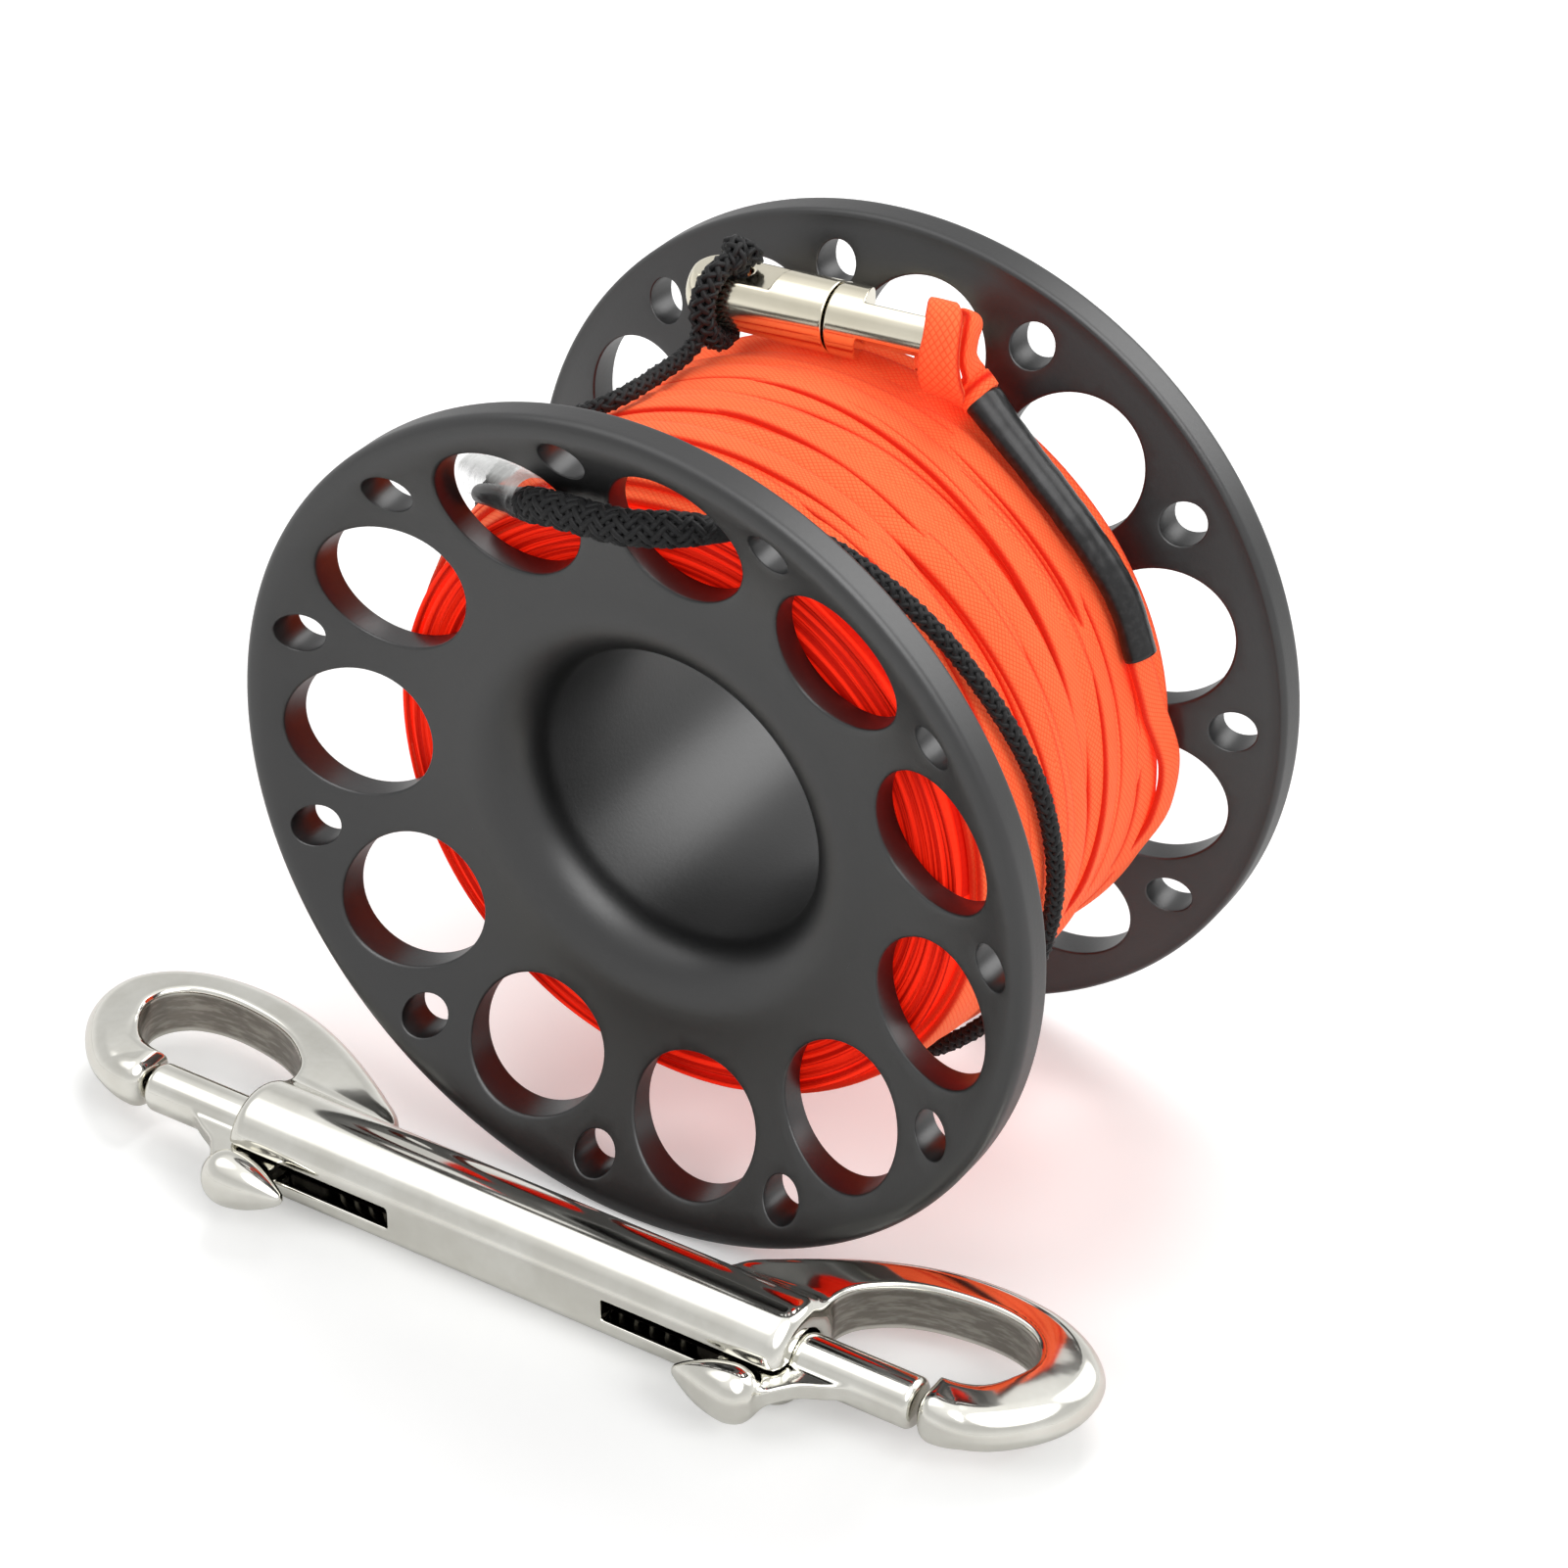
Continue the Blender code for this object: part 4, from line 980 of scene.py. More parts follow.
lanyard = makeBraided("lanyardCord", lanyardRoute, spoolFrame, braid["cord"], ["lanyard_cord"])
splice = makeBraided("lanyardSplice", spliceRoute, spoolFrame, braid["splice"], ["lanyard_splice"])
eyeFrame = swivelFrame @ Matrix.Translation(Vector((-layout["cordEyeBehind"], 0, 0)) * mm)
makeBraided("lanyardKnot", knotRoutes["throughEye"], eyeFrame, braid["cord"], ["lanyard_knot"])
makeBraided("lanyardKnotTop", knotRoutes["overTop"], eyeFrame, braid["cord"])


def makeTube(name, rows, closedEnds, surface, nodes=()):
    route = smoothRoute(rows, routeStep["tube"])
    across = np.tile((0, 0, 1.0), (len(route), 1))
    tube = sweep(route[:, :3], across, route[:, 3], route[:, 3], ovalSection(tubeSides), closedEnds)
    mesh = meshFrom(name, *tube[:2], spoolFrame, tube[2])
    turnOut(mesh)
    return addPiece(name, mesh, "spool", surface, nodes)


# the splice's end: a black sleeve that sits tight, under a loose clear tube
endSleeve = makeTube("lanyardEndSleeve", tailRoute, True, finishes["shrink"], ["lanyard_end_sleeve"])
clearTube = makeTube("lanyardClearTube", clearRoute, False, finishes["clear"])
# the painted highlight goes on the faces that look up
facing = np.zeros(len(clearTube.data.vertices) * 3)
clearTube.data.vertices.foreach_get("normal", facing)
upperHighlight = (facing[2::3] - clear["upperFrom"]) / clear["upperOver"]
markPoints(clearTube.data, "paintedUpperHighlight", np.clip(upperHighlight, 0, 1))

# what the lanyard is as a cord
cordRows = smoothRoute(lanyardRoute, routeStep["path"])
cordPath = [tuple(spoolFrame @ (Vector(row) * mm)) for row in cordRows]
cordLength = sum((Vector(b) - Vector(a)).length for a, b in zip(cordPath, cordPath[1:]))
print("lanyard braided", round(cordLength / mm), "mm")


# spool
spoolShape = {
    "flangeRadius": 44.93,
    "halfWidth": 27.2,
    "boreRadius": 16.0,
    "lipRadius": 6.0,
    "lipLand": 1.7,
    "dish": 6.25,
    "rimWidth": 2.4,
    "rimStep": 0.28,
    "rimFlat": 0.84,
    "rimRound": 1.0,
    "rimBackRound": 0.7,
    "hubRadius": 19.5,
    "channelHalf": 16.7,
    "lean": 6.9,
    "leanPower": 1.5,
    "hubFillet": 0.5,
    "around": 264,
    "holes": 11,
    "firstHole": radians(82.85),
    # each kind of hole: its radius, its circle's radius, its rim's rounding and its sides
    "large": (7.3, 33.7, 0.32, 80),
    "small": (2.25, 40.0, 0.16, 36),
    "clearOfHole": 0.42,
    "insideTolerance": 0.9995,
    # rings of points on each face: how far in from its edges, and how far apart
    "outerRings": {"in": 1.1, "out": 0.6, "step": 1.15},
    "innerRings": {"in": 1.6, "out": 0.5, "step": 1.3},
    # short straight pieces beside the rounds, and how many points each round has
    "rimStraight": 0.4,
    "rimBackStraight": 0.3,
    "lipStraight": 0.8,
    "hubStraight": 2,
    "rimPoints": 9,
    "lipPoints": 17,
    "holePoints": 5,
    "joinWithin": 0.004 * mm,
}
lipEdge = spoolShape["boreRadius"] + spoolShape["lipRadius"] + spoolShape["lipLand"]
rimEdge = spoolShape["flangeRadius"] - spoolShape["rimWidth"]
backEdge = spoolShape["flangeRadius"] - spoolShape["rimBackRound"]
drumEdge = spoolShape["hubRadius"] + spoolShape["hubFillet"]
spoolTurns = np.arange(spoolShape["around"]) * tau / spoolShape["around"]


def quarterTurn(count):
    return np.linspace(0, pi / 2, count)


def channelFace(radius):
    # how far each flange's inner face stands from the middle
    s = spoolShape
    share = np.maximum((radius - s["hubRadius"]) / (s["flangeRadius"] - s["hubRadius"]), 0)
    return s["channelHalf"] + s["lean"] * share ** s["leanPower"]


def outerFace(radius):
    # the same for its outer face, dished between the lip and the rim
    s = spoolShape
    low, high = s["halfWidth"] - s["dish"], s["halfWidth"] - s["rimStep"]
    dish = low + (high - low) * np.clip((radius - lipEdge) / (rimEdge - lipEdge), 0, 1) ** 2
    rise = np.clip((radius - rimEdge) / s["rimFlat"], 0, 1)
    return dish + s["rimStep"] * rise * rise * (3 - 2 * rise)


def holeList():
    s = spoolShape
    found = []
    for index in range(s["holes"]):
        for (radius, circle, edge, sides), turn in ((s["large"], 0), (s["small"], pi / s["holes"])):
            angle = s["firstHole"] + turn + tau * index / s["holes"]
            found.append((circle * cos(angle), circle * sin(angle), radius, edge, sides))
    return found


def drilledFace(inner, outer, face, rings):
    # a ring-shaped face with its holes left open, as points on a plane lifted to the turned shape
    s = spoolShape
    holes = holeList()
    spots, edges = [], []

    def ring(cx, cz, radius, angles):
        start = len(spots)
        count = len(angles)
        for angle in angles:
            spots.append((cx + radius * cos(angle), cz + radius * sin(angle)))
        edges.extend((start + k, start + (k + 1) % count) for k in range(count))

    ring(0, 0, inner, spoolTurns)
    ring(0, 0, outer, spoolTurns)
    for cx, cz, radius, edge, sides in holes:
        ring(cx, cz, radius + edge, np.arange(sides) * tau / sides)
    gap = s["clearOfHole"]
    for count, radius in enumerate(rings):
        for angle in spoolTurns + (count % 2) * pi / s["around"]:
            x, z = radius * cos(angle), radius * sin(angle)
            if all((x - cx) ** 2 + (z - cz) ** 2 > (r + e + gap) ** 2 for cx, cz, r, e, _ in holes):
                spots.append((x, z))
    points, _, triangles = delaunay_2d_cdt([Vector(spot) for spot in spots], edges, [], 0, 1e-6, False)[:3]
    points = np.array([tuple(point) for point in points])
    triangles = np.array(triangles)
    middle = points[triangles].mean(axis=1)
    keep = np.hypot(middle[:, 0], middle[:, 1]) > inner * cos(pi / s["around"]) * s["insideTolerance"]
    for cx, cz, radius, edge, sides in holes:
        keep &= np.hypot(middle[:, 0] - cx, middle[:, 1] - cz) > (radius + edge) * cos(pi / sides)
    lifted = np.stack([points[:, 0], face(np.hypot(points[:, 0], points[:, 1])), points[:, 1]], axis=1)
    return lifted, triangles[keep]


def holeWall(hole, side):
    # the rounded rims of one hole and the wall between them, as rings of points
    cx, cz, radius, edge, sides = hole
    angles = np.arange(sides) * tau / sides
    steps = quarterTurn(spoolShape["holePoints"])
    rows = []
    for face, sign, bend in ((outerFace, -1, steps[::-1]), (channelFace, 1, steps)):
        for turn in bend:
            reach = radius + edge * (1 - cos(turn))
            x, z = cx + reach * np.cos(angles), cz + reach * np.sin(angles)
            y = face(np.hypot(x, z)) + sign * edge * (1 - sin(turn))
            rows.append(np.stack([x, y * side, z], axis=1))
    return np.array(rows)


def rimOutline():
    # radius and distance from the middle, over the rim from the outer face to the inner one
    s = spoolShape
    half, top, front, behind = s["halfWidth"], s["flangeRadius"], s["rimRound"], s["rimBackRound"]
    quarter = quarterTurn(s["rimPoints"])
    back = channelFace(backEdge)
    outline = [(rimEdge + s["rimFlat"], half)]
    outline += [(top - front * (1 - cos(a)), half - front * (1 - sin(a))) for a in quarter[::-1]]
    outline += [(top, half - front - s["rimStraight"]), (top, back + behind + s["rimBackStraight"])]
    outline += [(top - behind * (1 - cos(a)), back + behind * (1 - sin(a))) for a in quarter]
    return outline


def lipOutline():
    # from the dish over the lip into the finger bore
    s = spoolShape
    low, bend = outerFace(lipEdge), s["lipRadius"]
    outline = [(lipEdge, low), (lipEdge - s["lipStraight"], low)]
    for a in quarterTurn(s["lipPoints"]):
        outline.append((s["boreRadius"] + bend * (1 - sin(a)), low - bend * (1 - cos(a))))
    return outline + [(s["boreRadius"], low - bend - s["lipStraight"]), (s["boreRadius"], 0)]


def drumOutline():
    # from the inner face round the fillet onto the hub
    s = spoolShape
    hub, bend, foot = s["hubRadius"], s["hubFillet"], channelFace(drumEdge)
    quarter = quarterTurn(s["rimPoints"])
    outline = [(hub + bend * (1 - sin(a)), foot - bend * (1 - cos(a))) for a in quarter]
    return outline + [(hub, s["channelHalf"] - s["hubStraight"]), (hub, 0)]


def makeSpool(surface):
    s = spoolShape
    points, faces, base = [], [], 0

    def take(somePoints, someFaces):
        nonlocal base
        points.append(somePoints)
        faces.extend([[corner + base for corner in face] for face in someFaces])
        base += len(somePoints)

    def takeRings(rings):
        take(rings.reshape(-1, 3), ringFaces(*rings.shape[:2])[1])

    def turned(outline, side):
        radius, y = np.array(outline).T[:, :, None]
        level = y * side + 0 * spoolTurns
        takeRings(np.stack([radius * np.cos(spoolTurns), level, radius * np.sin(spoolTurns)], axis=-1))

    def ringsBetween(low, high, values):
        return list(np.arange(low + values["in"], high - values["out"], values["step"]))

    outerRings = ringsBetween(lipEdge, rimEdge, s["outerRings"])
    outerRings += [rimEdge, rimEdge + s["rimFlat"] / 2]
    outer = drilledFace(lipEdge, rimEdge + s["rimFlat"], outerFace, outerRings)
    innerRings = ringsBetween(s["hubRadius"], backEdge, s["innerRings"])
    inner = drilledFace(drumEdge, backEdge, channelFace, innerRings)
    for side in (-1, 1):
        flip = np.array([1, side, 1])
        take(outer[0] * flip, outer[1].tolist())
        take(inner[0] * flip, inner[1].tolist())
        for hole in holeList():
            takeRings(holeWall(hole, side))
        for outline in (rimOutline(), lipOutline(), drumOutline()):
            turned(outline, side)
    mesh = meshFrom("spoolTurned", np.vstack(points), faces, spoolFrame)
    turnOut(mesh, s["joinWithin"])
    return addPiece("spoolTurned", mesh, "spool", surface, ["spool"])


makeSpool(finishes["anodised"])
print("spool turned and drilled")


# line on the spool
winding = {
    "halfWidth": 18.4,
    # places along the axis and the winding's radius there
    "crown": [
        (-18.4, 32.8), (-15, 33.75), (-10, 34.55), (-4, 34.9), (6, 34.8), (11, 34.45), (14.6, 34.25),
        (17, 35.05), (19.0, 35.2),
    ],
    "nearEdge": -16.35,
    "farEdge": 17.25,
    "tapeWidth": 3.5,
    "tapeThickness": 0.8,
    "turns": 11.6,
    "turnsBelow": 9.6,
    "depthBelow": 1.45,
    "stepsPerTurn": 150,
    # waves in the tapes' place, radius and lean: how high, how often each turn, and where they start
    "wander": [(0.75, 1.0, 2.4), (0.95, 0.37, 0.6), (0.35, 1.61, 1.1)],
    "swell": [(0.20, 0.37, 2.0), (0.14, 0.83, 1.0)],
    "lean": 0.17,
    "sway": [(0.13, 0.73, 0.4)],
    "wanderBelow": [(0.35, 1.0, 0.8)],
    "swellBelow": [(0.10, 3.0, 1.0)],
    "leanBelow": 0.05,
    # the waves fade in and out over this share at each end
    "calmShare": 0.125,
    # how deep the outer layer's top lies under the crown
    "sunk": 0.12,
    # the first turn starts under the others
    "startDepth": 1.6,
    "startTurns": 0.5,
    "joinWithin": 0.0005 * mm,
}
# the last stretch, up to the sleeve; pairs say from and over which share of it something happens
climb = {
    "start": radians(-26),
    "end": radians(17.6),
    "overrun": 0.04,
    "steps": 40,
    "above": 0.45,
    "aside": 0.3,
    "asideShare": 0.4,
    "endY": 13.0,
    "endRadius": 35.75,
    "levels": (0, 0.6),
    "turnsBack": (0.4, 0.6),
    "surfaces": (0, 0.3),
    "rises": (0.55, 0.45),
}
# short stretches that cross over the others: from and over how many degrees, from and to where along the axis
crossings = [
    (-45, 150, -12.5, -8.0), (35, 120, -9.5, -4.5), (-25, 105, -1.5, -5.5), (48, 95, 1.5, -2.5),
    (-5, 130, 2.5, 7.0), (60, 100, 8.0, 4.0), (-50, 110, 8.5, 12.0), (-35, 75, 3.5, 9.5), (20, 60, 9.0, 11.0),
    (75, 95, -10.5, -13.0), (150, 120, -6.0, 2.0), (230, 110, 10.0, 5.0), (250, 90, -9.0, -4.0),
    (-42, 78, 16.2, 13.4), (10, 75, -14.0, -11.0), (-30, 95, -7.0, -10.5), (12, 108, -3.5, -0.5),
    (34, 80, 4.5, 8.5), (-18, 72, 14.2, 11.0), (52, 88, -13.5, -8.5),
]
# how deep a crossing's ends lie, how far it rises, over which share of it, and how much it wanders and leans
crossing = {"depth": 1.35, "rise": 1.17, "riseShare": 0.28, "wander": 0.4, "sway": 0.16}
# a flat tape with soft edges, in shares of its half width and half thickness
tapeSection = [
    (-1.0, 0.0), (-0.97, 0.55), (-0.86, 0.9), (-0.45, 1.04), (0.0, 1.08), (0.45, 1.04), (0.86, 0.9),
    (0.97, 0.55), (1.0, 0.0), (0.97, -0.55), (0.86, -0.9), (0.0, -1.0), (-0.86, -0.9), (-0.97, -0.55),
]
# the turns under the tapes; below is how deep under the crown their top lies
stack = {
    "beyondEdge": 1.5,
    "topRow": 1.3,
    "topPoints": 24,
    "ridge": 0.62,
    "groove": 0.32,
    "shoulder": 0.06,
    "unevenness": 0.32,
    "wallGap": 0.15,
    # the sides are pressed in here and there: how deep, how many times round, and where that starts
    "pressed": (0.10, 3, 0.5),
    "pressedFine": (0.07, 7),
    "sidesFrom": 12,
    "flowApart": 40,
    "below": 1.75,
    "clearance": 0.25,
    "around": 300,
    "seed": 7,
}


def crown(y):
    places, radii = zip(*winding["crown"])
    return np.interp(y, places, radii)


def crownSlope(y, reach=1.2):
    return (crown(y + reach) - crown(y - reach)) / (2 * reach)


def ease(share, start, over):
    # from 0 to 1 over that stretch, with soft ends
    share = np.clip((share - start) / over, 0, 1)
    return share ** 2 * (3 - 2 * share)


def waves(angles, rows, total=0):
    # each row is how high a wave is, how fast it goes and where it starts
    for height, pace, start in rows:
        total = total + height * np.sin(angles * pace + start)
    return total


def tapeAround(angles, y, radius, lean):
    # a tape round the spool's axis, tilted by its lean
    outward = np.stack([np.cos(angles), 0 * angles, np.sin(angles)], axis=1)
    centres = outward * radius[:, None]
    centres[:, 1] += y
    across = outward * lean[:, None] + np.array([0, 1, 0])
    return sweep(centres, -across, winding["tapeWidth"] / 2, winding["tapeThickness"] / 2, tapeSection)


def layerBelow():
    # it runs the other way
    w = winding
    near, far = w["nearEdge"], w["farEdge"]
    angles = np.linspace(0, tau * w["turnsBelow"], round(w["turnsBelow"] * w["stepsPerTurn"]))
    y = far + (near - far) * angles / angles[-1] + waves(angles, w["wanderBelow"])
    y = np.clip(y, near, far)
    radius = crown(y) - w["depthBelow"] + waves(angles, w["swellBelow"])
    return tapeAround(angles, y, radius, crownSlope(y) + w["leanBelow"])


def outerLayer():
    # the turns wander a little, and the last one climbs to the sleeve
    w, c = winding, climb
    near, far = w["nearEdge"], w["farEdge"]
    steps = round(w["turns"] * w["stepsPerTurn"])
    share = np.linspace(0, 1, steps + 1)
    angles = c["start"] - tau * w["turns"] * (1 - share)
    calm = np.clip(np.minimum(share, 1 - share) / w["calmShare"], 0, 1)
    y = near + (far - near) * share + calm * waves(angles, w["wander"])
    y = np.clip(y, near, far)
    radius = crown(y) - w["tapeThickness"] / 2 - w["sunk"]
    radius += calm * waves(angles, w["swell"])
    radius -= w["startDepth"] * np.clip(1 - share * w["turns"] / w["startTurns"], 0, 1) ** 2
    lean = crownSlope(y) + calm * waves(angles, w["sway"], w["lean"])
    t = np.linspace(0, 1, c["steps"] + 1)[1:]
    back = ease(t, *c["turnsBack"])
    aside = c["aside"] * np.minimum(1, t / c["asideShare"])
    climbY = far + aside * (1 - back) + (c["endY"] - far) * back
    climbRadius = crown(climbY) + c["above"]
    climbRadius = radius[-1] + (climbRadius - radius[-1]) * ease(t, *c["surfaces"])
    climbRadius = climbRadius + (c["endRadius"] - climbRadius) * ease(t, *c["rises"])
    climbAngles = c["start"] + (c["end"] + c["overrun"] - c["start"]) * t
    angles = np.concatenate([angles, climbAngles])
    y = np.concatenate([y, climbY])
    radius = np.concatenate([radius, climbRadius])
    lean = np.concatenate([lean, lean[-1] * (1 - ease(t, *c["levels"]))])
    return tapeAround(angles, y, radius, lean)


def crossingTape(index, start, over, fromY, toY):
    # rises out of the layer, crosses its turns and dives under again
    c = crossing
    t = np.linspace(0, 1, round(over * winding["stepsPerTurn"] / 360))
    y = fromY + (toY - fromY) * t + c["wander"] * np.sin(t * 5 + index)
    up = ease(t, 0, c["riseShare"]) * ease(1 - t, 0, c["riseShare"])
    radius = crown(y) - c["depth"] + c["rise"] * up
    lean = crownSlope(y) + c["sway"] * np.cos(t * pi + index * 2.0)
    return tapeAround(np.radians(start + over * t), y, radius, lean)


def makeWinding(surface):
    parts = [layerBelow(), outerLayer()]
    parts += [crossingTape(index, *values) for index, values in enumerate(crossings)]
    points, faces, flow = joinParts(parts)
    mesh = meshFrom("lineWinding", points, faces, spoolFrame, flow)
    turnOut(mesh, winding["joinWithin"])
    return addPiece("lineWinding", mesh, "spool", surface, ["line_winding"])


def makeStack(surface):
    # everything under the layers: a crowned drum whose sides show the edges of many turns
    s = stack
    rng = np.random.default_rng(s["seed"])
    inner = spoolShape["hubRadius"] + s["clearance"]
    outer = crown(winding["nearEdge"] - s["beyondEdge"]) - s["topRow"]
    radii = np.arange(inner, outer, s["ridge"])
    profile = []
    for side in (1, -1):
        rows = []
        for low in radii:
            wall = min(channelFace(low) - s["clearance"], winding["halfWidth"] - s["wallGap"])
            out = wall - s["unevenness"] * rng.random()
            for share, depth in ((0.0, s["groove"]), (0.2, s["shoulder"]), (0.5, 0.0), (0.8, s["shoulder"])):
                rows.append((low + s["ridge"] * share, side * (out - depth)))
        profile.append(rows)
    front, back = profile
    top = [(crown(v) - s["below"], v) for v in np.linspace(front[-1][1], back[-1][1], s["topPoints"])]
    outline = np.array([(inner, 0.0)] + front + top + back[::-1] + [(inner, 0.0)])
    radius, y = outline.T[:, :, None]
    turns = np.arange(s["around"] + 1) * tau / s["around"]
    wobble = waves(turns, [s["pressed"], (*s["pressedFine"], radius)])
    level = y - np.abs((np.abs(y) > s["sidesFrom"]) * wobble) * np.sign(y)
    rings = np.stack([radius * np.cos(turns), level, radius * np.sin(turns)], axis=-1)
    index = np.arange(rings.shape[0] * rings.shape[1]).reshape(rings.shape[:2])
    quads = np.stack([index[:-1, :-1], index[:-1, 1:], index[1:, 1:], index[1:, :-1]], axis=-1).reshape(-1, 4)
    # the flow of the two sides lies well apart
    flow = np.stack([radius * turns, radius + s["flowApart"] * (y > 0) + 0 * turns], axis=-1)
    mesh = meshFrom("lineStack", rings.reshape(-1, 3), quads.tolist(), spoolFrame, flow.reshape(-1, 2))
    turnOut(mesh, winding["joinWithin"])
    return addPiece("lineStack", mesh, "spool", surface, ["line_core"])


makeStack(finishes["stack"])
makeWinding(finishes["winding"])
print("line wound on")


# swivel
swivel = {
    "barrel": 3.65,
    "endRound": 2.6,
    "seam": 0.15,
    "cord": {"length": 16.5, "tang": 2.65, "start": 6.0, "slant": radians(-11), "eye": 4.6, "eyeRadius": 1.9},
    "line": {"length": 13.8, "tang": 1.8, "start": 2.8, "slant": radians(-17), "eye": 2.95, "eyeRadius": 2.1},
    "lineRoll": radians(-33.4),
    "startInside": -6.0,
    "seamRound": 0.22,
    "millRound": 0.25,
    "millEdge": 0.16,
    "eyeEdge": 0.55,
    "boreRound": 0.05,
    "margin": 0.5,
    "marginBehind": 0.3,
    "cell": 0.135,
}
# along the barrel: where each bore starts and ends, and its radius
pinBores = {"cord": [(-1, 2.0, 1.3), (1.7, 4.4, 2.4)], "line": [(-1, 6.0, 1.3)]}


def halfField(values, bores):
    # one half of the barrel along +x: milled flat above and below, with an eye through its tang
    s = swivel

    def field(p):
        body = rodField(p, s["startInside"], values["length"], s["barrel"], s["endRound"])
        solid = softUnion(body, s["seam"] - p[:, 0], -s["seamRound"])
        slant = np.tan(values["slant"])
        ahead = (values["start"] + p[:, 1] * slant - p[:, 0]) * cos(values["slant"])
        mill = softUnion(ahead, values["tang"] - np.abs(p[:, 2]), -s["millRound"])
        solid = softCut(solid, mill, s["millEdge"])
        along = p[:, 0] - (values["length"] - values["eye"])
        solid = softCut(solid, np.hypot(along, p[:, 1]) - values["eyeRadius"], s["eyeEdge"])
        for start, end, radius in bores:
            solid = np.maximum(solid, -rodField(p, start, end, radius, s["boreRound"]))
        return solid

    return field


def makeHalf(name, kind, side, matrix, body, node):
    values = swivel[kind]
    reach = swivel["barrel"] + swivel["margin"]
    field = halfField(values, pinBores[kind])
    low, high = (-swivel["marginBehind"], -reach, -reach), (values["length"] + swivel["margin"], reach, reach)
    points, faces, normals = handed(solidFromField(field, low, high, swivel["cell"]), side)
    mesh = meshFrom(name, points, faces, matrix, normals=normals)
    return addPiece(name, mesh, body, finishes["satinSteel"], [node])


makeHalf("swivelCordHalf", "cord", -1, swivelFrame, "spool", "swivel_cord_half")
lineFrame = swivelFrame @ Matrix.Rotation(swivel["lineRoll"], 4, "X")
makeHalf("swivelLineHalf", "line", 1, lineFrame, "swivel_line_side", "swivel_line_half")
# the pin is hidden inside and stays as the frame has it
pin = frame["nodes"]["swivel_pin"]
pin.data.materials.clear()
pin.data.materials.append(finishes["satinSteel"])
print("swivel made")


# the line's end loop: places from the line eye's centre, where its width points, its width and its thickness
loopRoute = [
    ((2.6, 1.3, -4.65), (-0.6, 0.7, 0.40), 3.2, 0.95),
    ((2.7, -0.1, -4.75), (-0.95, 0.25, 0.15), 3.4, 1.0),
    ((2.7, -1.5, -4.6), (-1, 0, 0), 4.5, 1.0),
    ((2.7, -2.95, -3.75), (-1, 0, 0), 4.6, 1.05),
    ((2.65, -4.15, -2.1), (-1, 0, 0), 4.3, 1.1),
    ((2.6, -4.6, -0.1), (-1, 0, 0), 3.9, 1.1),
    ((2.2, -4.3, 1.7), (-1, 0, 0), 3.7, 1.15),
    ((1.3, -3.3, 2.9), (-1, 0, 0), 3.1, 1.2),
    ((0.3, -1.95, 3.15), (-1, 0, 0), 2.6, 1.3),
    ((-0.5, -0.8, 2.8), (-1, 0, 0), 2.0, 1.4),
    ((-0.85, -0.1, 1.6), (-1, 0, 0), 1.6, 1.8),
    ((-0.9, 0.0, -1.4), (-1, 0, 0), 1.6, 1.8),
    ((-0.8, 0.0, -2.6), (-1, 0, 0.5), 1.6, 1.8),
    ((0.0, 0.0, -3.3), (0, 0, 1), 1.6, 1.8),
    ((0.8, 0.0, -2.6), (1, 0, 0.5), 1.6, 1.8),
    ((0.9, 0.0, -1.4), (1, 0, 0), 1.6, 1.8),
    ((0.9, 0.0, 1.4), (1, 0, 0), 1.6, 1.7),
    ((1.25, 0.45, 2.4), (0.7, -0.7, 0.0), 1.7, 1.4),
    ((2.15, 0.4, 3.0), (0, -1, 0), 2.1, 1.2),
    ((3.2, -0.2, 2.55), (0, -1, 0), 2.3, 1.1),
    ((3.75, -1.1, 1.1), (0, -1, 0), 2.4, 1.05),
    ((3.9, -0.9, -0.8), (0, -1, 0), 2.5, 1.05),
    ((4.0, 0.6, -2.0), (0, -1, -0.2), 2.8, 1.0),
]
loopStep = 0.22
# both strands in and at the sleeve's mouth: how far ahead of it, and how far apart, wide and thick they are
mouthPlaces = [-2.6, -1.2, 0.0, 1.0, 2.0]
mouthStrand = {"halfApart": 0.62, "width": 3.0, "thickness": 0.95}
bight = {
    "ahead": 0.95,
    "halfAcross": 2.0,
    "halfLift": 1.45,
    "halfWidth": 1.0,
    "halfThickness": 0.42,
    "tip": radians(14),
    "points": 61,
}
sleeveRoute = [
    (33.9, 13.0, 12.1), (31.9, 13.3, 16.9), (29.2, 13.1, 21.1), (25.0, 12.8, 26.0), (20.4, 13.2, 29.9),
    (16.9, 14.0, 32.3), (14.6, 14.7, 33.8),
]
sleeve = {
    "halfWidth": 2.0,
    "halfHeight": 1.42,
    "wall": 0.28,
    "flare": 1.16,
    "flareFrom": 0.7,
    "flareOver": 0.3,
    "flarePower": 1.5,
    "ripples": [(0.012, 41, 0), (0.008, 97, 1)],
    "step": 0.35,
    "sides": 44,
}


